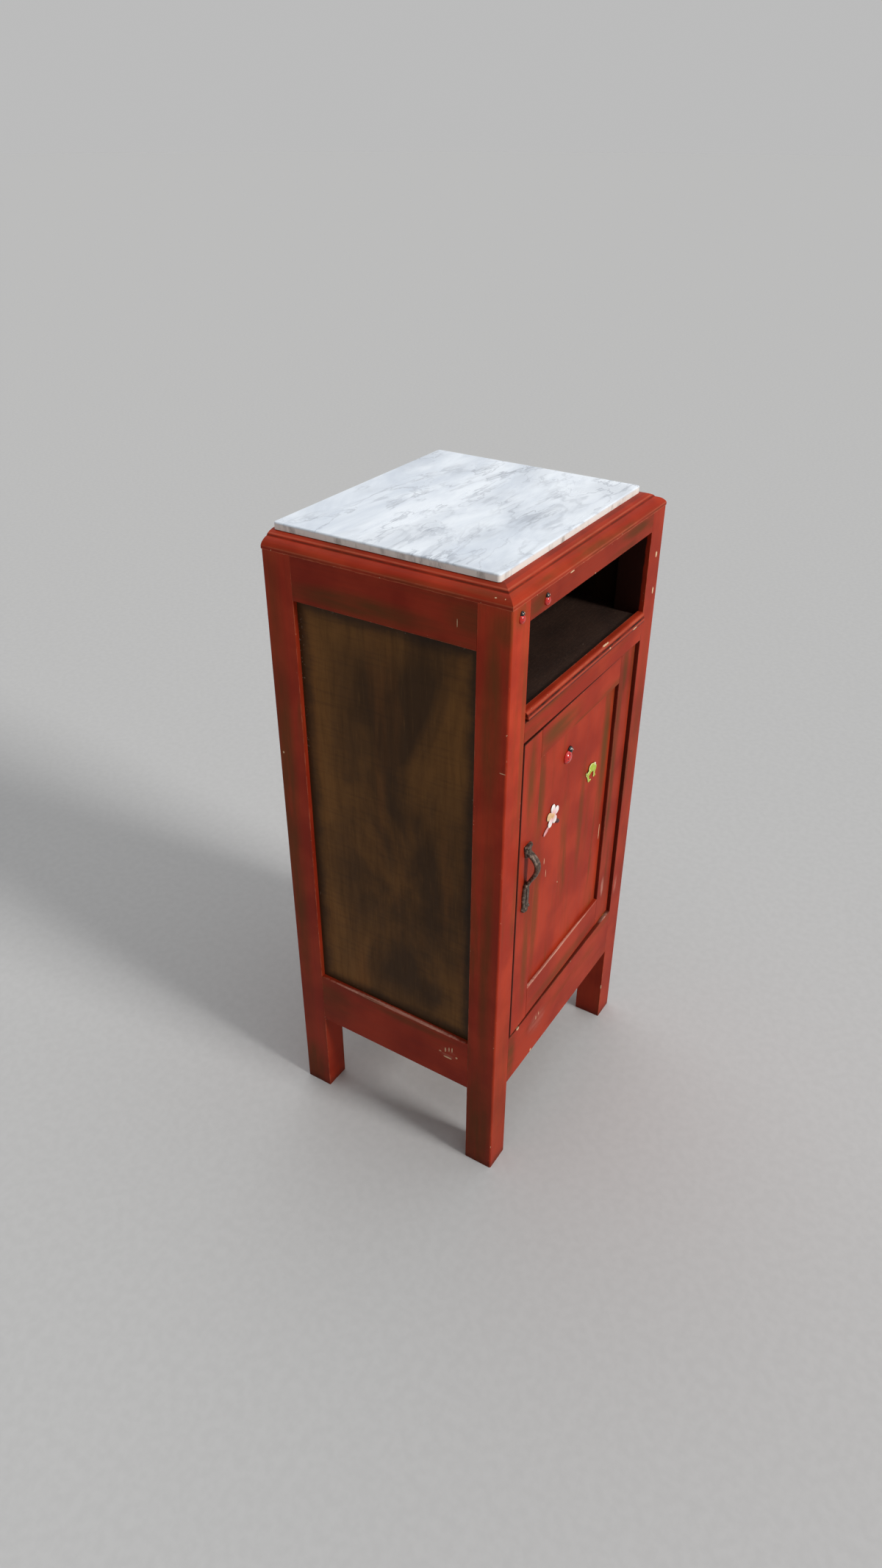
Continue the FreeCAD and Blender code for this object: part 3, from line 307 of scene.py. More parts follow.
# Rubbed patches, each with its strength
RUBS = {
    "post_front_left":
        on_side(left, RUB, (-0.122, 0.66, 0.016, 0.16, 0.95), (-0.125, 0.34, 0.012, 0.28, 0.7),
                (-0.12, 0.06, 0.026, 0.16, 0.9), (-0.135, 0.765, 0.03, 0.03, 0.6))
        + on_front(front, RUB, (-0.151, 0.64, 0.007, 0.2, 0.5), (-0.163, 0.14, 0.026, 0.2, 0.3),
                   (-0.164, 0.775, 0.02, 0.02, 0.6)),
    "post_back_left":
        on_side(left, RUB, (0.148, 0.46, 0.02, 0.5, 0.8), (0.145, 0.03, 0.03, 0.07, 0.8))
        + on_front(back, RUB, (-0.168, 0.52, 0.012, 0.26, 0.8)),
    "post_back_right":
        on_side(right, RUB, (0.146, 0.5, 0.016, 0.34, 0.9))
        + on_front(back, RUB, (0.166, 0.3, 0.014, 0.28, 0.8)),
    "post_front_right":
        on_front(front, RUB, (0.165, 0.5, 0.014, 0.2, 0.4))
        + on_side(right, RUB, (-0.126, 0.44, 0.013, 0.3, 0.9), (-0.122, 0.04, 0.024, 0.1, 0.8)),
    "side_top_rail_right": on_side(right, RUB, (0.02, 0.752, 0.11, 0.017, 0.9)),
    "side_bottom_rail_right": on_side(right, RUB, (-0.06, 0.17, 0.06, 0.034, 0.7)),
    "back_top_rail": on_front(back, RUB, (0.05, 0.752, 0.1, 0.018, 0.9)),
    "back_bottom_rail": on_front(back, RUB, (-0.08, 0.17, 0.07, 0.034, 0.7)),
    "side_top_rail_left":
        on_side(left, RUB, (0.03, 0.75, 0.13, 0.018, 1.0), (-0.095, 0.766, 0.04, 0.028, 0.6)),
    "side_bottom_rail_left":
        on_side(left, RUB, (0.11, 0.17, 0.06, 0.05, 0.6), (-0.02, 0.198, 0.09, 0.01, 0.6)),
    "front_top_rail":
        on_front(front, RUB, (-0.13, 0.776, 0.03, 0.016, 0.95), (0.1, 0.78, 0.06, 0.01, 0.8)),
    "front_bottom_rail":
        on_front(front, RUB, (-0.14, 0.17, 0.016, 0.05, 0.8), (0.12, 0.2, 0.06, 0.01, 0.5)),
    "door_top_rail": on_front(DOOR_FRONT, DOOR, (-0.06, 0.606, 0.075, 0.02, 0.9)),
    "door_bottom_rail": on_front(DOOR_FRONT, DOOR, (0.0, 0.22, 0.13, 0.014, 0.7)),
    "door_stile_left":
        on_front(DOOR_FRONT, DOOR, (-0.122, 0.57, 0.016, 0.09, 0.9), (-0.115, 0.31, 0.012, 0.12, 0.8)),
    "door_stile_right":
        on_front(DOOR_FRONT, DOOR, (0.110, 0.47, 0.012, 0.22, 1.0), (0.118, 0.6, 0.014, 0.05, 0.8)),
    "door_panel":
        on_front(PANEL_FRONT, DOOR, (-0.088, 0.53, 0.016, 0.09, 0.95), (0.088, 0.5, 0.016, 0.14, 0.95),
                 (0.03, 0.43, 0.012, 0.12, 0.6), (-0.085, 0.36, 0.014, 0.12, 0.7)),
}
# Chips and scratches down to bare wood
CHIPS = {
    "post_front_left":
        on_side(left, 0.0012, (front, 0.04, 0.0012, 0.0035))
        + on_side(left, CHIP, (-0.137, 0.609, 0.004, 0.0005))
        + on_side(left, 0.0011, (front, 0.625, 0.0011, 0.003)),
    "post_front_right":
        on_front(front, CHIP, (0.1673, 0.7303, 0.0028, 0.0042), (0.169, 0.6847, 0.002, 0.0045))
        + on_front(front, 0.001, (inner, 0.06, 0.001, 0.004)),
    "post_back_left":
        on_side(left, CHIP, (0.152, 0.541, 0.0014, 0.0016))
        + on_front(back, CHIP, (-0.16, 0.07, 0.002, 0.0034)),
    "post_back_right":
        on_side(right, 0.0014, (back, 0.36, 0.0014, 0.006))
        + on_side(right, CHIP, (0.135, 0.09, 0.0016, 0.002)),
    "side_bottom_rail_right":
        on_side(right, CHIP, (0.05, 0.18, 0.0016, 0.0024), (0.058, 0.174, 0.004, 0.0009)),
    "back_bottom_rail": on_front(back, CHIP, (0.06, 0.19, 0.0026, 0.0018)),
    "shelf_nosing":
        on_front(front - 0.001, 0.0022, (0.0407, 0.6648, 0.0105, 0.0012))
        + on_front(front - 0.002, CHIP, (0.119, 0.655, 0.0065, 0.0011), (0.05, 0.657, 0.002, 0.0012)),
    "front_bottom_rail":
        on_front(front, CHIP, (-0.1233, 0.2055, 0.0032, 0.0026), (-0.0835, 0.133, 0.002, 0.002),
                 (-0.0733, 0.182, 0.0006, 0.004), (-0.066, 0.184, 0.0006, 0.003)),
    "side_bottom_rail_left":
        on_side(left, CHIP, (-0.0716, 0.18, 0.0009, 0.004), (-0.0813, 0.184, 0.0008, 0.0045),
                (-0.077, 0.183, 0.0007, 0.004), (-0.075, 0.168, 0.007, 0.0012),
                (-0.064, 0.174, 0.002, 0.0008), (-0.088, 0.174, 0.0015, 0.0015)),
    "side_top_rail_left": on_side(left, CHIP, (-0.0818, 0.76, 0.0004, 0.005)),
    "door_panel":
        on_front(PANEL_FRONT, DOOR, (-0.067, 0.427, 0.0006, 0.005), (-0.0605, 0.405, 0.0005, 0.006),
                 (-0.0247, 0.3686, 0.001, 0.001), (0.0965, 0.372, 0.0009, 0.014)),
    "front_top_rail": on_front(front, CHIP, (-0.0596, 0.7845, 0.005, 0.0008)),
    "top_moulding_left":
        on_side(left, 0.006, (-0.1209, 0.7935, 0.0016, 0.0005), (-0.1308, 0.794, 0.0008, 0.0007),
                (-0.109, 0.795, 0.001, 0.0005)),
}
# Pale scuffs, each with its strength
SCUFFS = {
    "door_stile_right": on_front(DOOR_FRONT, DOOR, (0.117, 0.268, 0.006, 0.024, 0.6)),
    "post_front_right": on_front(front, CHIP, (0.155, 0.25, 0.005, 0.022, 0.5)),
    "front_bottom_rail":
        on_front(-0.138, 0.006, (0.128, 0.2065, 0.018, 0.0022, 0.8))
        + on_front(front, CHIP, (-0.07, 0.175, 0.03, 0.02, 0.18)),
    "door_bottom_rail": on_front(-0.1388, 0.0026, (0.0, 0.2552, 0.2, 0.0024, 1.0)),
    "side_bottom_rail_left":
        on_side(-0.1803, 0.0044, (0.0, 0.2065, 0.13, 0.0024, 1.0))
        + on_side(left, CHIP, (-0.075, 0.176, 0.016, 0.01, 0.25)),
}
# Level lines along the mouldings: painted highlights on the nose and bead, partly worn paint, painted shade
# in the quirk and painted shadow under the marble; height, half width, colour and strength
STRIP_SHADING_LINES = [
    (strip_low + 0.0034, 0.0011, PALE_RED, 0.4), (strip_low + 0.0117, 0.0011, GRIME_AND_SHADE, 0.65),
    (strip_low + 0.0134, 0.0006, PALE_RED, 0.45), (strip_high - 0.0003, 0.0006, GRIME_AND_SHADE, 0.3)]
# Level lines along the nosing, in the same columns: painted highlights on its beads, partly worn paint,
# painted shade in its groove and painted shadow below it
NOSING_SHADING_LINES = [
    (0.6632, 0.0014, PALE_RED, 0.5), (0.6565, 0.0014, PALE_RED, 0.4), (0.6596, 0.0023, GRIME_AND_SHADE, 1.0),
    (0.6525, 0.0034, GRIME_AND_SHADE, 0.9)]
# Left edges of the door's stiles, which lean as the door stands ajar
LEAN = 0.0003
left_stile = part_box("door_stile_left")[0].x + LEAN
right_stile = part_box("door_stile_right")[0].x + LEAN
# Faces inside gaps, and the rail's top just under the nosing, painted dark as shade, with some dirt: axis,
# level, side, strength and how far the painted shade reaches round the edge
GAP_SHADE = {
    "post_front_left": [(0, -inner, 1.0, 0.8, 0.0011)],
    "post_front_right": [(0, inner, -1.0, 0.6, 0.0011)],
    "door_stile_left": [(0, left_stile, -1.0, 0.9, 0.0024), (2, door_top, 1.0, 0.9, 0.0016)],
    "door_stile_right": [(0, right_stile, -1.0, 0.55, 0.0011), (2, door_top, 1.0, 0.8, 0.0011)],
    "door_top_rail": [(2, door_top, 1.0, 0.9, 0.0014)],
    "front_middle_rail": [(2, middle_low, -1.0, 0.7, 0.0011), (2, middle_high, 1.0, 0.85, 0.0016)],
    "front_bottom_rail": [(2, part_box("front_bottom_rail")[1].z, 1.0, 0.7, 0.0011)],
}
# Heights between which the painted gap shade fades in and out along the upright gaps
GAP_FOOT, GAP_HEAD = (0.2, 0.21), (niche_top - 0.13, niche_top - 0.12)
# Frame pieces that show inside the niche, stained dark there, and how deep a face of theirs counts
NICHE_WALLS = ("post_", "side_top_rail", "back_top_rail")
FACE_DEPTH = (0.0006, 0.0012)


def niche_stain(look, node, place, x, y, z):
    """Mask of a frame piece's faces inside the niche."""
    low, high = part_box(node)
    across = look.size(x)
    faces = []
    if node != "back_top_rail":
        faces.append(look.fall(look.minus(across, min(abs(low.x), abs(high.x))), *FACE_DEPTH))
    if "back" in node:
        faces.append(look.fall(look.minus(y, low.y), *FACE_DEPTH))
    ceiling = niche_top if node.startswith("post_front") else strip_low
    within = look.times(look.fall(across, side_level, side_level + 0.001),
                        look.fall(y, back_level, back_level + 0.001))
    uneven = look.minus(y, look.times(look.noise(place, 60.0, roughness=0.5), 0.004))
    return look.times(look.most(*faces), within, look.step(uneven, front + 0.003, front + 0.0045),
                      look.step(z, shelf_top - 0.002, shelf_top), look.fall(z, ceiling, ceiling + 0.001))


def painted(node, grain, seed):
    """Red paint on one node, its grain along an axis, with the marks set out above."""
    look = Look("paint_" + node)
    low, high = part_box(node)
    place = look.place()
    x, y, z = look.split(place)
    broad = [LONG_GRAIN if axis == grain else CROSS_GRAIN for axis in "xyz"]
    fine = [FINE_LONG if axis == grain else FINE_CROSS for axis in "xyz"]
    # Painted light and shade of the node; with a pair, darker towards the floor and on the side faces
    tone = PAINTED_LIGHT.get(node, 1.0)
    if isinstance(tone, tuple):
        share = look.step(look.size(x), right - 0.002, right - 0.0005, 1.0, SIDE_SHADE_SHARE)
        tone = look.times(look.step(z, 0.0, high.z, *tone), share)
    rubbing = 0.0
    if node in RUBS:
        rubbing = look.most(*[look.times(look.spot(place, centre, half, soft=0.2), strength)
                              for centre, half, strength in RUBS[node]])
    given = look.node("Group", node_tree=PAINT)
    look.fill(given, (low, high, broad, fine, seed, rubbing, EDGE_WEAR, tone))
    color, rough, height = given.outputs
    # Painted highlights and painted shade along the beads and grooves of the mouldings and nosing
    lines = NOSING_SHADING_LINES if node == "shelf_nosing" else STRIP_SHADING_LINES if node.startswith("top_moulding") else ()
    for level, half, shade, strength in lines:
        uneven = look.step(look.noise(place, 45.0, seed + 2), 0.3, 0.6, 0.45, 1.0)
        line = look.fall(look.size(look.minus(z, level)), half * 0.3, half)
        color = look.mix(look.times(line, uneven, strength), color, shade)
    if node in CHIPS:
        chips = [look.spot(place, centre, half, ragged=0.9, seed=seed + i)
                 for i, (centre, half) in enumerate(CHIPS[node])]
        color = look.mix(look.most(*chips), color, BARE_WOOD)
    # Painted shade in the gaps round the door and under the nosing
    for axis, level, way, strength, reach in GAP_SHADE.get(node, ()):
        beyond = look.times(look.minus((x, y, z)[axis], level), way)
        darkening = look.times(look.step(beyond, -reach, -0.0005), strength)
        if axis == 0:
            darkening = look.times(darkening, look.fall(z, *GAP_HEAD), look.step(z, *GAP_FOOT))
        color = look.mix(darkening, color, GRIME_AND_SHADE)
    for centre, half, strength in SCUFFS.get(node, ()):
        hairs = look.noise(look.vector("MULTIPLY", place, fine), 0.6, seed + 1)
        patch = look.spot(place, centre, half, soft=0.3, ragged=0.7, seed=seed)
        color = look.mix(look.times(patch, look.step(hairs, 0.35, 0.65), strength), color, SCUFFED)
    if node.startswith(NICHE_WALLS):
        color = look.mix(look.times(niche_stain(look, node, place, x, y, z), 0.95), color, STAIN)
    dress(look.finish(color, rough, height, bump=0.25, specular=0.1), node)


# Painted nodes by the axis of their grain, and the step from one node's seed to the next
GRAIN = {
    "z": ["post_front_left", "post_front_right", "post_back_left", "post_back_right", "door_stile_left",
          "door_stile_right", "door_panel"],
    "y": ["side_top_rail_left", "side_top_rail_right", "side_bottom_rail_left", "side_bottom_rail_right",
          "top_moulding_left", "top_moulding_right"],
    "x": ["front_top_rail", "front_middle_rail", "front_bottom_rail", "back_top_rail", "back_bottom_rail",
          "shelf_nosing", "top_moulding_front", "top_back_strip", "door_top_rail", "door_bottom_rail"],
}
SEED_STEP = 3.7
seed = 1.0
for grain, names in GRAIN.items():
    for name in names:
        painted(name, grain, seed)
        seed += SEED_STEP


# Panels, marble, boards and metal; a panel's edge is hidden in its groove
PANEL_HIDDEN = 0.0075
VEIN_SLANT = math.radians(34)
# Leaf veins of the pull: radians to a metre, and the heights where the leaves end at the bow
VEIN_RATE = 950.0
LOWER_LEAF_END, UPPER_LEAF_START = (0.036, 0.038), (0.08, 0.083)


def panel_look(node, seed, axis, level):
    """Dark olive brown paint, brushed up and down, darker at its rim, stained inside a level."""
    look = Look("panel_" + node)
    place = look.place()
    parts = look.split(place)
    blot = look.stretched(place, (9.0, 9.0, 5.0), seed, detail=4.0, roughness=0.55, distortion=0.8)
    brush = look.stretched(place, (130.0, 130.0, 12.0), seed, detail=5.0, roughness=0.7, distortion=0.5)
    cross = look.stretched(place, (18.0, 18.0, 240.0), seed + 3, detail=4.0, roughness=0.65, distortion=0.3)
    hair = look.stretched(place, (900.0, 900.0, 30.0), seed, detail=2.0)
    warm = look.stretched(place, (22.0, 22.0, 3.4), seed + 5, distortion=0.3)
    x, y, z = look.inside(place, *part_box(node))
    rim = look.least(look.most(x, y), z)
    bias = look.total(look.step(rim, 0.02, 0.07, 0.3, 0.0), look.step(parts[1], -0.02, 0.12, -0.12, 0.3))
    light = look.math("ADD", look.step(blot, 0.34, 0.68), bias, clamp=True)
    color = look.mix(light, srgb(64, 41, 18), srgb(116, 76, 33))
    color = look.coat(color, srgb(130, 78, 32), warm, 0.5, 0.78, strength=0.5)
    color = look.coat(color, srgb(50, 31, 15), brush, 0.4, 0.72, strength=0.34)
    color = look.coat(color, srgb(48, 30, 15), cross, 0.45, 0.7, strength=0.24)
    color = look.coat(color, srgb(140, 100, 52), hair, 0.55, 0.8, strength=0.2)
    ragged = look.noise(place, 30.0, seed + 2, detail=4.0)
    darkening = look.fall(look.minus(rim, look.times(ragged, 0.02)), 0.0, 0.018)
    color = look.mix(look.times(darkening, 0.75), color, srgb(30, 21, 15))
    specks = look.step(look.noise(place, 380.0, seed + 4, detail=1.0, roughness=0.5), 0.63, 0.68)
    near_rim = look.fall(look.minus(rim, PANEL_HIDDEN), 0.001, 0.007)
    clusters = look.step(look.noise(place, 11.0, seed + 6, detail=2.0, roughness=0.5), 0.5, 0.62)
    color = look.mix(look.times(specks, near_rim, clusters, 0.7), color, srgb(150, 138, 124))
    stained = look.fall(look.size(parts[axis]), level - 0.001, level + 0.001)
    color = look.mix(look.times(stained, 0.85), color, STAIN)
    rough = look.step(brush, 0.2, 0.8, 0.42, 0.6)
    dress(look.finish(color, rough, brush, bump=0.2, specular=0.12), node)


def marble_look():
    """Bluish white marble with soft clouds, faint slanting veins, and a warmer edge with grey spots."""
    look = Look("veined_marble")
    place = look.place()
    turned = look.node("Mapping")
    turned.inputs["Rotation"].default_value = (0.0, 0.0, VEIN_SLANT)
    turned.inputs["Scale"].default_value = (9.0, 24.0, 16.0)
    look.feed(turned.inputs["Vector"], place)
    spread = turned.outputs["Vector"]
    warp = look.noise(spread, 0.7, 1.0, detail=4.0)
    bent = look.vector("ADD", spread, look.join(*[look.times(warp, share) for share in (1.6, 1.1, 0.8)]))
    cloud = look.noise(spread, 0.55, 3.0, detail=5.0, roughness=0.62, distortion=0.6)
    mottle = look.noise(bent, 1.7, 21.0, detail=5.0, roughness=0.65, distortion=0.3)
    flecks = look.noise(bent, 2.6, 17.0, detail=4.0)
    fade = look.step(look.noise(place, 11.0, 9.0, roughness=0.5), 0.36, 0.62, 0.08, 1.0)
    color = look.mix(look.step(cloud, 0.42, 0.74), srgb(236, 243, 251), srgb(200, 210, 223))
    color = look.coat(color, srgb(188, 199, 215), mottle, 0.42, 0.7, strength=0.32)
    # Veins: scale, seed, half width, strength and colour
    for scale, seed, width, strength, shade in (
            (0.5, 2.0, 0.03, 0.56, srgb(142, 150, 163)), (0.9, 6.0, 0.02, 0.54, srgb(126, 134, 148)),
            (0.34, 11.0, 0.09, 0.3, srgb(150, 158, 170))):
        wave = look.noise(bent, scale, seed, detail=5.0, distortion=0.4)
        vein = look.fall(look.size(look.minus(wave, 0.5)), 0.0, width)
        color = look.mix(look.times(vein, fade, strength), color, shade)
    color = look.coat(color, srgb(126, 134, 148), flecks, 0.68, 0.78, strength=0.35)
    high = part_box("marble_top")[1].z
    below = look.fall(look.split(place)[2], high - 0.003, high - 0.0006)
    spots = look.stretched(place, (70.0, 70.0, 24.0), 4.0, detail=4.0, roughness=0.62)
    edge = look.mix(look.step(spots, 0.5, 0.72), srgb(240, 234, 224), srgb(166, 158, 146))
    color = look.mix(look.times(below, 0.85), color, edge)
    rough = look.step(cloud, 0.3, 0.7, 0.26, 0.36)
    dress(look.finish(color, rough, cloud, bump=0.03, depth=0.0003, specular=0.35), "marble_top")


def wood_look(name, light, dark, scales, seed):
    """Plain wood with streaks along its grain."""
    look = Look(name)
    place = look.vector("MULTIPLY", look.place(), scales)
    rings = look.noise(place, 1.0, seed, detail=5.0, roughness=0.62, distortion=0.8)
    hair = look.stretched(place, (5.0, 5.0, 5.0), seed)
    color = look.mix(look.step(rings, 0.32, 0.7), light, dark)
    color = look.coat(color, dark, hair, 0.5, 0.75, strength=0.3)
    return look.finish(color, look.step(rings, 0.3, 0.7, 0.5, 0.7), hair, bump=0.25, specular=0.25)


def shelf_look():
    """Dark stained board with fine fibres, dust and a few pale specks."""
    look = Look("niche_board")
    place = look.place()
    fibre = look.stretched(place, (60.0, 700.0, 700.0), 3.0, detail=4.0, roughness=0.65)
    cloud = look.stretched(place, (7.0, 16.0, 16.0), 5.0, detail=4.0, roughness=0.55, distortion=0.5)
    dust = look.noise(place, 520.0, 8.0)
    speck = look.noise(place, 150.0, 12.0, detail=1.0, roughness=0.5)
    color = look.mix(look.step(cloud, 0.35, 0.68), srgb(40, 27, 22), srgb(58, 41, 33))
    color = look.coat(color, srgb(30, 20, 16), fibre, 0.4, 0.7, strength=0.5)
    color = look.coat(color, srgb(104, 84, 72), dust, 0.52, 0.72, strength=0.3)
    color = look.coat(color, srgb(176, 160, 146), speck, 0.79, 0.81, strength=0.7)
    rough = look.step(fibre, 0.3, 0.7, 0.55, 0.7)
    dress(look.finish(color, rough, fibre, bump=0.3, specular=0.22), "niche_shelf")


def iron_look(name, veined=False):
    """Forged iron, dark, with rubbed brown highlights, and the veins of leaves where asked for."""
    look = Look(name)
    place = look.place()
    scale = look.noise(place, 300.0, 1.0, detail=4.0, roughness=0.65, distortion=0.4)
    rust = look.noise(place, 90.0, 4.0, detail=4.0)
    color = look.mix(look.step(scale, 0.42, 0.72), srgb(58, 46, 38), srgb(142, 122, 106))
    color = look.coat(color, srgb(92, 62, 44), rust, 0.5, 0.72, strength=0.55)
    height = scale
    if veined:
        across, up, _ = look.split(place)
        slant = look.minus(up, look.times(look.size(across), 1.1))
        ridges = look.step(look.size(look.math("SINE", look.times(slant, VEIN_RATE))), 0.0, 0.45)
        on_leaf = look.most(look.fall(up, *LOWER_LEAF_END), look.step(up, *UPPER_LEAF_START))
        lines = look.times(look.minus(1.0, ridges), on_leaf)
        color = look.mix(look.times(lines, 0.6), color, srgb(34, 26, 22))
        height = look.minus(scale, look.times(lines, 0.7))
    rough = look.step(scale, 0.3, 0.7, 0.38, 0.6)
    return look.finish(color, rough, height, bump=0.6, depth=0.0006, Metallic=0.4)


def speckled(name, light, dark, size, roughness, **constants):
    """Two close tones in fine grain, for metal, plastic and gloss paint."""
    look = Look(name)
    grain = look.noise(look.place(), size, 2.0)
    color = look.mix(look.step(grain, 0.3, 0.7), light, dark)
    rough = look.step(grain, 0.3, 0.7, *roughness)
    return look.finish(color, rough, grain, bump=0.08, depth=0.0002, **constants)


panel_look("side_panel_left", 2.0, 0, side_level)
panel_look("side_panel_right", 8.0, 0, side_level)
panel_look("back_panel", 14.0, 1, back_level)
marble_look()
shelf_look()
dress(wood_look("bare_board", srgb(196, 158, 112), srgb(150, 108, 68), (90.0, 6.0, 90.0), 5.0),
      "cupboard_bottom", "shelf_cleat_left", "shelf_cleat_right", "bottom_cleat_left", "bottom_cleat_right",
      "sub_top")
dress(wood_look("stop_strip", srgb(186, 146, 100), srgb(140, 98, 60), (110.0, 110.0, 7.0), 7.0), "door_stop")
dress(iron_look("forged_iron"), "door_pull", "pull_nails")
leaf_iron = iron_look("leaf_iron", veined=True)
METAL_GLOSS = (0.3, 0.45)
dress(speckled("screw_steel", srgb(170, 168, 164), srgb(130, 128, 124), 700.0, METAL_GLOSS, Metallic=1.0),
      "cleat_screws", "pivot_screws", "stop_screws", "catch_screws", "strike_screws", "strike_plate")
dress(speckled("pivot_brass", srgb(196, 158, 88), srgb(150, 112, 56), 500.0, METAL_GLOSS, Metallic=1.0),
      "pivot_plate_top", "pivot_plate_bottom", "pivot_bush_top", "pivot_bush_bottom")
dress(speckled("catch_plastic", srgb(92, 66, 48), srgb(74, 52, 38), 900.0, (0.45, 0.6)), "catch_magnet")


# Small painted figures: each drawn in its own plane, with its thickness standing out of the wood
AJAR = math.radians(0.75)
# A point of the door panel's face
FACE_X, FACE_Y = -0.02295, -0.134765


def plane_at(x, y, z, turn=0.0, lean=0.0):
    """Matrix of a figure's plane: across, up and out, turned about the upright and leaned in the plane."""
    upright = Matrix((Vector((1, 0, 0)), Vector((0, 0, 1)), Vector((0, -1, 0)))).transposed().to_4x4()
    return (Matrix.Translation((x, y, z)) @ Matrix.Rotation(turn, 4, "Z") @ upright
            @ Matrix.Rotation(-lean, 4, "Z"))


def on_panel(x, z, lean=0.0):
    """Plane of a figure on the door's panel, which stands a little ajar."""
    return plane_at(x, FACE_Y + (x - FACE_X) * math.tan(AJAR), z, AJAR, lean)


def add_object(name, data):
    """New object in the scene."""
    thing = bpy.data.objects.new(name, data)
    bpy.context.scene.collection.objects.link(thing)
    return thing


def add_piece(name, body, matrix, build, materials, replaced):
    """New mesh object: build fills a bmesh whose faces carry the numbers of the materials."""
    mesh = bpy.data.meshes.new(name)
    net = bmesh.new()
    build(net)
    bmesh.ops.recalc_face_normals(net, faces=net.faces)
    for face in net.faces:
        face.smooth = True
    net.to_mesh(mesh)
    net.free()
    for material in materials:
        mesh.materials.append(material)
    piece = add_object(name, mesh)
    piece.matrix_world = matrix
    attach(piece, body)
    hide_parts(replaced)


def stack(net, rings, bands):
    """Skin over rings of points, closed at both ends; bands gives each band's material, or one for all."""
    if isinstance(bands, int):
        bands = [bands] * (len(rings) - 1)
    rows = [[net.verts.new(point) for point in ring] for ring in rings]
    for low, high, material in zip(rows, rows[1:], bands):
        for i in range(len(low)):
            net.faces.new((low[i - 1], low[i], high[i], high[i - 1])).material_index = material
    net.faces.new(list(reversed(rows[0]))).material_index = bands[0]
    net.faces.new(rows[-1]).material_index = bands[-1]


def angles(count):
    return [2 * math.pi * i / count for i in range(count)]


def ellipse(centre, across, up, height, count=36):
    x, y = centre
    return [(x + across * math.cos(a), y + up * math.sin(a), height) for a in angles(count)]


def dome(net, centre, across, up, low, high, material=0, steps=8):
    """Rounded cap on an oval foot, a little fuller than a ball, with a small flat top."""
    rings = [ellipse(centre, across, up, low)]
    for i in range(1, steps + 1):
        angle = math.pi / 2 * i / steps * 0.97
        share = math.cos(angle) ** 0.75
        rings.append(ellipse(centre, across * share, up * share, low + (high - low) * math.sin(angle)))
    stack(net, rings, material)


def between(a, b, c, d, t):
    """Point of a smooth line between b and c, at a share t of the way."""
    return 0.5 * (2 * b + (c - a) * t + (2 * a - 5 * b + 4 * c - d) * t * t
                  + (3 * b - a - 3 * c + d) * t * t * t)


def smooth(points, steps):
    """Closed smooth line through given points."""
    line = []
    count = len(points)
    for i in range(count):
        run = [Vector(points[(i + k) % count]) for k in (-1, 0, 1, 2)]
        line += [between(*run, k / steps) for k in range(steps)]
    return line


def trace(points, steps=6):
    """Open smooth line through given points."""
    points = [Vector(point) for point in points]
    points = [points[0] * 2 - points[1], *points, points[-1] * 2 - points[-2]]
    line = []
    for run in zip(points, points[1:], points[2:], points[3:]):
        line += [between(*run, k / steps) for k in range(steps)]
    return line + [points[-2]]


def inset(line, amount):
    """A closed line moved inwards; the line runs anticlockwise."""
    moved = []
    for i, point in enumerate(line):
        along = (line[(i + 1) % len(line)] - line[i - 1]).normalized()
        moved.append(point + Vector((-along.y, along.x)) * amount)
    return moved


def pillow(net, line, low, high, edge, bands):
    """Flat cut-out with a rounded upper edge, in four bands."""
    rings = []
    for share_in, share_up in ((0.0, 0.0), (0.0, 0.55), (0.3, 0.85), (0.7, 0.97), (1.0, 1.0)):
        rings.append([(p.x, p.y, low + (high - low) * share_up) for p in inset(line, edge * share_in)])
    stack(net, rings, bands)


# Ladybirds: drawn one unit long; length and rise in metres, and the order of their materials
SMALL, LARGE = (0.013, 0.0036), (0.022, 0.0052)
WINGS, HEAD, CHEEK = range(3)
SPOT_CENTRES = ((0.17, 0.02), (0.2, -0.22), (0.09, -0.36))


def spotted_red():
    """Gloss red wing cases with a dark split and small spots, in shares of the ladybird's length."""
    look = Look("ladybird_red")
    place = look.place()
    x, y, _ = look.split(place)
    side = look.size(x)
    grain = look.noise(place, 9.0, 2.0)
    color = look.mix(look.step(grain, 0.3, 0.7), srgb(214, 38, 28), srgb(186, 24, 20))
    folded = look.join(side, y)
    spots = [look.fall(look.vector("DISTANCE", folded, (across, up, 0.0)), 0.035, 0.05)
             for across, up in SPOT_CENTRES]
    split = look.fall(side, 0.008, 0.02)
    color = look.mix(look.times(look.most(*spots, split), 0.8), color, srgb(40, 8, 8))
    rough = look.step(grain, 0.3, 0.7, 0.14, 0.22)
    return look.finish(color, rough, grain, bump=0.05, depth=0.0002, Coat_Weight=0.4)


ladybird_black = speckled("ladybird_black", srgb(16, 14, 14), srgb(30, 25, 24), 9.0, (0.16, 0.24))
ladybird_colors = [
    spotted_red(), ladybird_black,
    speckled("ladybird_white", srgb(240, 234, 224), srgb(214, 204, 190), 9.0, (0.25, 0.35))]


def add_ladybird(name, body, matrix, length, reach, replaced):
    """Ladybird of a given length: wing cases, head and two pale cheek dots."""
    rise = reach / length

    def build(net):
        dome(net, (0.0, -0.127), 0.352, 0.37, 0.0, rise, WINGS)
        dome(net, (0.0, 0.264), 0.22, 0.232, 0.0, rise * 0.75, HEAD)
        for side in (-1, 1):
            dome(net, (side * 0.095, 0.34), 0.05, 0.055, rise * 0.5, rise * 0.72, CHEEK, steps=4)

    scaled = matrix @ Matrix.Scale(length, 4)
    add_piece(name, body, scaled, build, ladybird_colors, replaced)


add_ladybird("ladybird_post", "carcass", plane_at(-0.163986, front, 0.77404), *SMALL, "frame_ladybirds")
add_ladybird("ladybird_rail", "carcass", plane_at(-0.113306, front, 0.7745), *SMALL, "frame_ladybirds")
add_ladybird("ladybird_door", "door", on_panel(FACE_X, 0.55065, math.radians(38)), *LARGE, "door_ladybird")


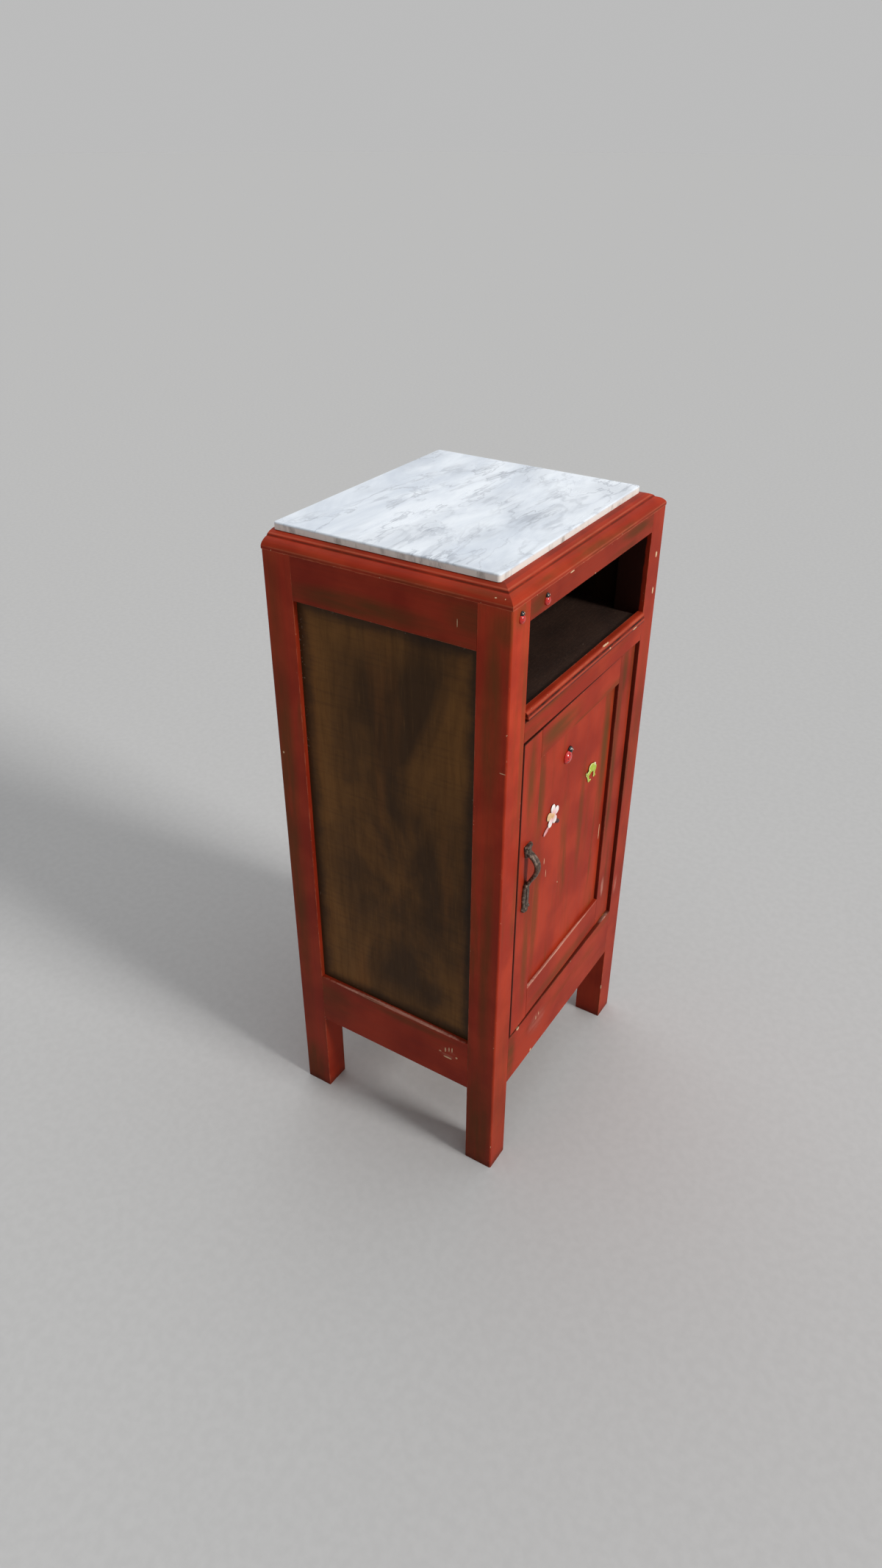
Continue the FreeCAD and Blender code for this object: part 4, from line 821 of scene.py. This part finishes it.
# Frog: outlines in millimetres from its middle, anticlockwise
FROG_BODY = [
    (15.6, 0.6), (15.0, 4.6), (12.6, 8.0), (10.2, 10.2), (7.4, 10.6), (3.0, 12.2), (-1.8, 13.0), (-5.6, 11.6),
    (-7.8, 8.4), (-7.4, 5.0), (-5.0, 2.0), (-1.0, 0.2), (4.0, -0.6), (9.0, -3.0), (12.6, -3.4), (14.8, -1.6)]
FROG_ARM = [
    (9.2, -1.6), (9.2, -5.4), (9.4, -8.8), (8.4, -11.4), (10.6, -12.6), (15.2, -12.4), (15.4, -10.8),
    (13.2, -9.2), (13.4, -5.4), (13.8, -1.6)]
FROG_SHIN = [
    (-15.4, 4.2), (-15.0, 1.2), (-12.4, -2.0), (-9.8, -5.8), (-8.0, -9.8), (-6.8, -12.6), (-3.4, -13.2),
    (1.2, -13.0), (1.2, -11.4), (-2.4, -10.4), (-4.4, -8.0), (-6.0, -3.6), (-9.0, 1.0), (-12.0, 5.0)]
FROG_THIGH = [
    (-2.4, 4.4), (-6.0, 6.6), (-10.6, 5.6), (-14.4, 4.4), (-14.2, 2.0), (-9.4, -0.8), (-4.6, 0.2)]
# Its limbs in their order, each with its foot and top in metres, the scale and the order of its materials
FROG_LIMBS = ((FROG_ARM, 0.0, 0.0014), (FROG_SHIN, 0.0, 0.0014), (FROG_BODY, 0.0, 0.0019),
              (FROG_THIGH, 0.0012, 0.0025))
FROG_SCALE = 0.00092
FROG_GREEN, FROG_RIM, FROG_OUTLINE, FROG_EYE, FROG_PUPIL = range(5)


def build_frog(net):
    for line, low, high in FROG_LIMBS:
        outline = [point * FROG_SCALE for point in smooth(line, 5)]
        pillow(net, outline, low, high, 0.0006, [FROG_OUTLINE, FROG_RIM, FROG_RIM, FROG_GREEN])
    dome(net, (0.0092, 0.0074), 0.0021, 0.0021, 0.0014, 0.0025, FROG_EYE, steps=5)
    dome(net, (0.0096, 0.0075), 0.001, 0.001, 0.0021, 0.0027, FROG_PUPIL, steps=4)


def figure_paint(name, light, dark, size, spots=None):
    """Hand-painted figure colour with brush tone, and spots where given."""
    look = Look(name)
    place = look.place()
    drawn = look.vector("MULTIPLY", place, (1.0, 0.35, 1.0))
    brush = look.noise(drawn, size, 3.0, distortion=0.3)
    color = look.mix(look.step(brush, 0.3, 0.7), light, dark)
    if spots:
        dots = look.noise(place, 420.0, 6.0, detail=2.0, roughness=0.5)
        color = look.coat(color, spots, dots, 0.6, 0.66, strength=0.7)
    rough = look.step(brush, 0.3, 0.7, 0.38, 0.5)
    return look.finish(color, rough, brush, bump=0.15, depth=0.0002, specular=0.3)


frog_colors = [
    figure_paint("frog_green", srgb(184, 200, 70), srgb(150, 176, 50), 500.0, srgb(110, 136, 36)),
    figure_paint("frog_rim", srgb(238, 234, 168), srgb(222, 222, 130), 500.0),
    figure_paint("frog_outline", srgb(62, 64, 26), srgb(44, 44, 20), 500.0),
    figure_paint("frog_eye", srgb(240, 236, 220), srgb(222, 214, 190), 500.0), ladybird_black]
add_piece("frog", "door", on_panel(0.0488, 0.48930), build_frog, frog_colors, "frog_figure")


# Flower: petals about a raised heart, and a leaf on each side below; metres and the order of its materials
PETALS, PETAL_FOOT, PETAL_TIP, PETAL_WIDTH = 5, 0.0016, 0.0149, 0.0104
PETAL_WHITE, LEAF_PINK, HEART_TAN, LEAF_MAROON, FLOWER_OUTLINE = range(5)
LEAVES = (((-0.0085, -0.0105), (-0.0208, -0.0166), LEAF_PINK),
          ((0.0085, -0.011), (0.0188, -0.0187), LEAF_MAROON))


def leaf_line(start, end, wide, widest=0.5):
    """Outline of a petal or leaf from foot to tip, anticlockwise, widest at a share of the way."""
    start, end = Vector(start), Vector(end)
    along = end - start
    side = Vector((along.y, -along.x)).normalized() * wide / 2
    shares = ((0.0, 0.4), (0.2, 0.7), (widest, 1.0), (0.87, 0.76), (1.0, 0.34))
    upward = [start + along * t + side * w for t, w in shares]
    return smooth(upward + [start + along * t - side * w for t, w in reversed(shares)], 5)


def build_flower(net):
    for i in range(PETALS):
        angle = math.radians(360 / PETALS * i)
        out = Vector((math.sin(angle), math.cos(angle)))
        base = i % 2 * 0.0002
        color = HEART_TAN if i == PETALS - 1 else PETAL_WHITE
        line = leaf_line(out * PETAL_FOOT, out * PETAL_TIP, PETAL_WIDTH, 0.62)
        pillow(net, line, base, 0.0017 + base, 0.0011, [FLOWER_OUTLINE, color, color, color])
    for start, end, color in LEAVES:
        pillow(net, leaf_line(start, end, 0.0056), 0.0, 0.0016, 0.0007, [FLOWER_OUTLINE, color, color, color])
    dome(net, (0.0, 0.0), 0.0043, 0.0043, 0.0006, 0.0027, HEART_TAN)


def petal_look():
    """White petals, blushed pink towards the heart, with fine streaks."""
    look = Look("petal_white")
    place = look.place()
    streak = look.noise(place, 900.0, 2.0, distortion=0.5)
    blush = look.fall(look.total(look.vector("LENGTH", place), look.times(streak, 0.004)), 0.006, 0.015)
    color = look.mix(look.times(blush, 0.75), srgb(242, 236, 232), srgb(226, 158, 160))
    color = look.coat(color, srgb(214, 190, 184), streak, 0.5, 0.75, strength=0.25)
    rough = look.step(streak, 0.3, 0.7, 0.38, 0.5)
    return look.finish(color, rough, streak, bump=0.12, depth=0.0002, specular=0.3)


flower_colors = [
    petal_look(), figure_paint("leaf_pink", srgb(226, 164, 164), srgb(196, 120, 122), 400.0),
    figure_paint("heart_tan", srgb(232, 196, 150), srgb(204, 160, 112), 700.0),
    figure_paint("leaf_maroon", srgb(86, 40, 38), srgb(58, 26, 26), 400.0),
    figure_paint("flower_outline", srgb(74, 34, 30), srgb(52, 22, 20), 400.0)]
add_piece("flower", "door", on_panel(-0.0544, 0.48495), build_flower, flower_colors,
          "flower_figure")


# Iron pull, up from its lower tip: a bow between two forged leaves
# Bow, in millimetres: out, up, half width and half thickness
BOW = [
    (1.0, 86.0, 5.2, 1.6), (4.2, 83.6, 5.0, 2.4), (9.2, 79.6, 4.9, 2.7), (13.1, 74.0, 4.9, 2.8),
    (14.5, 67.6, 4.9, 2.8), (13.3, 60.6, 4.6, 2.7), (9.8, 52.6, 4.2, 2.5), (5.8, 45.6, 3.8, 2.2),
    (2.4, 40.0, 3.5, 1.9)]
# Right sides of the leaves and of the ribs on the lower one, in millimetres
LOWER_LEAF = [
    (1.2, 0.0), (4.0, 1.0), (6.0, 3.4), (7.8, 5.0), (8.0, 7.6), (6.8, 9.8), (6.6, 14.0), (7.0, 20.0),
    (7.0, 27.0), (6.2, 33.0), (4.8, 38.0), (3.6, 41.0)]
UPPER_LEAF = [(3.8, 78.5), (5.2, 82.0), (6.4, 86.0), (7.4, 90.0), (7.8, 93.0), (6.4, 95.0)]
LOWER_RIB = [(0.5, 9.0), (1.4, 11.0), (1.4, 15.0), (0.5, 16.6)]
UPPER_RIB = [(0.6, 22.4), (1.5, 24.0), (1.3, 32.0), (0.5, 38.0)]
# These plates in metres: foot, top and rounding
PLATES = ((LOWER_LEAF, 0.0, 0.0031, 0.0015), (UPPER_LEAF, 0.0, 0.0031, 0.0015),
          (LOWER_RIB, 0.0026, 0.0038, 0.0006), (UPPER_RIB, 0.0026, 0.0039, 0.0006))
# Rolled tip and collar in metres: up, out, half length and radius
ROLLS = ((0.0934, 0.0031, 0.0066, 0.0021), (0.0394, 0.0028, 0.0060, 0.0028))
# Knobs at the lower tip in metres: centre, radius, foot and top
KNOBS = (((-0.0057, 0.0064), 0.0022, 0.0014, 0.0044), ((0.0057, 0.0064), 0.0022, 0.0014, 0.0044),
         ((0.0, 0.0042), 0.0036, 0.0016, 0.0047))
# Hammer marks: noise scale and depth
HAMMER_SCALE, HAMMER_DEPTH = 420, 0.00022


def mirrored(side):
    """Closed outline in metres from the points of its right side, going up."""
    return [p / 1000 for p in smooth(side + [(-x, y) for x, y in reversed(side)], 4)]


def sweep(net, path, count=24):
    """Bar along a path of points out and up, with half widths and half thicknesses, in millimetres."""
    line = trace(path)
    rings = []
    for i, (out, up, wide, thick) in enumerate(line):
        ahead = line[min(i + 1, len(line) - 1)] - line[max(i - 1, 0)]
        across = Vector((ahead[1], -ahead[0])).normalized()
        ring = []
        for angle in angles(count):
            side, rise = [math.copysign(abs(f(angle)) ** 0.8, f(angle)) for f in (math.cos, math.sin)]
            ring.append((wide * side / 1000, (up + across[1] * thick * rise) / 1000,
                         (out + across[0] * thick * rise) / 1000))
        rings.append(ring)
    stack(net, rings, 0)


def roll(net, up, out, half, radius, steps=8, count=20):
    """Bar lying across, with rounded ends."""
    rings = []
    for i in range(-steps, steps + 1):
        size = radius * (1.02 - (i / steps) ** 4) ** 0.5
        rings.append([(half * i / steps, up + size * math.cos(a), out + size * math.sin(a))
                      for a in angles(count)])
    stack(net, rings, 0)


def build_pull(net):
    sweep(net, BOW)
    for side, low, high, edge in PLATES:
        pillow(net, mirrored(side), low, high, edge, 0)
    for up, out, half, radius in ROLLS:
        roll(net, up, out, half, radius)
    for centre, radius, low, high in KNOBS:
        dome(net, centre, radius, radius, low, high)
    net.normal_update()
    for vertex in net.verts:
        vertex.co += vertex.normal * noise.noise(vertex.co * HAMMER_SCALE) * HAMMER_DEPTH


pull_low, pull_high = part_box("door_pull")
pull_x = (pull_low.x + pull_high.x) / 2
stile_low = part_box("door_stile_left")[0]
stile_face = stile_low.y + (pull_x - stile_low.x) * math.tan(AJAR)
add_piece("pull", "door", plane_at(pull_x, stile_face, pull_low.z, AJAR), build_pull, [leaf_iron],
          "door_pull")


# Floor, light and camera
FLOOR_RADIUS = 30.0
# Soft lights: the way towards each, its strength, its width in degrees and its colour
SUNS = {
    "key": ((0.0, -0.85, 0.45), 2.4, 14.0, (1.0, 0.985, 0.96)),
    "overhead": ((0.15, -0.1, 1.0), 1.3, 80.0, (0.98, 0.99, 1.0)),
    "back": ((0.6, 0.7, 0.45), 0.6, 70.0, (1.0, 1.0, 1.0)),
}
# Grey of the surroundings as they are seen, and overhead for the light alone
BACKDROP, OVERHEAD = 0.5, 0.1
# Camera fitted to the photograph: focal length for a 36 mm sensor, place and axes
FOCAL_LENGTH, SENSOR_WIDTH = 24.554, 36.0
CAMERA_PLACE = (-0.98167103, -0.570883206, 1.18203036)
CAMERA_RIGHT = Vector((0.5360672958, -0.8441722304, 0.0022582752))
CAMERA_DOWN = Vector((-0.4559623131, -0.2917950221, -0.8408055864))
CAMERA_AHEAD = Vector((0.7104436807, 0.4496986886, -0.5413324912))


def add_floor():
    mesh = bpy.data.meshes.new("floor")
    net = bmesh.new()
    bmesh.ops.create_circle(net, cap_ends=True, segments=96, radius=FLOOR_RADIUS)
    net.to_mesh(mesh)
    net.free()
    floor = add_object("floor", mesh)
    look = Look("pale_floor")
    grain = look.noise(look.place(), 90.0, 1.0, roughness=0.5)
    color = look.mix(look.step(grain, 0.3, 0.7), srgb(194, 194, 194), srgb(190, 190, 190))
    mesh.materials.append(look.finish(color, 0.7, specular=0.0))


def add_sun(name, toward, strength, width, color):
    lamp = bpy.data.lights.new(name, "SUN")
    lamp.energy = strength
    lamp.angle = math.radians(width)
    lamp.color = color
    add_object(name, lamp).rotation_euler = (-Vector(toward)).to_track_quat("-Z", "Y").to_euler()


def add_world():
    """Even grey surroundings, darker overhead for the light alone, so that the backdrop is one pale grey."""
    world = bpy.data.worlds.new("studio")
    world.use_nodes = True
    net = Net(world.node_tree)
    level = net.split(net.node("TexCoord").outputs["Generated"])[2]
    ray = net.node("LightPath").outputs
    seen = net.most(ray["Is Camera Ray"], ray["Is Glossy Ray"], ray["Is Transmission Ray"])
    shade = net.most(net.step(level, 0.02, 0.3, BACKDROP, OVERHEAD), net.times(seen, BACKDROP))
    sky = net.node("Background")
    net.feed(sky.inputs["Color"], net.gray(shade))
    net.feed(net.node("OutputWorld").inputs["Surface"], sky.outputs["Background"])
    bpy.context.scene.world = world


def add_camera():
    lens = bpy.data.cameras.new("camera")
    lens.sensor_width = SENSOR_WIDTH
    lens.lens = FOCAL_LENGTH
    camera = add_object("camera", lens)
    turn = Matrix((CAMERA_RIGHT, -CAMERA_DOWN, -CAMERA_AHEAD)).transposed()
    camera.matrix_world = Matrix.Translation(CAMERA_PLACE) @ turn.to_4x4()
    bpy.context.scene.camera = camera


add_floor()
for name, settings in SUNS.items():
    add_sun(name, *settings)
add_world()
add_camera()
bpy.context.scene.view_settings.view_transform = "Standard"

bpy.context.view_layer.update()
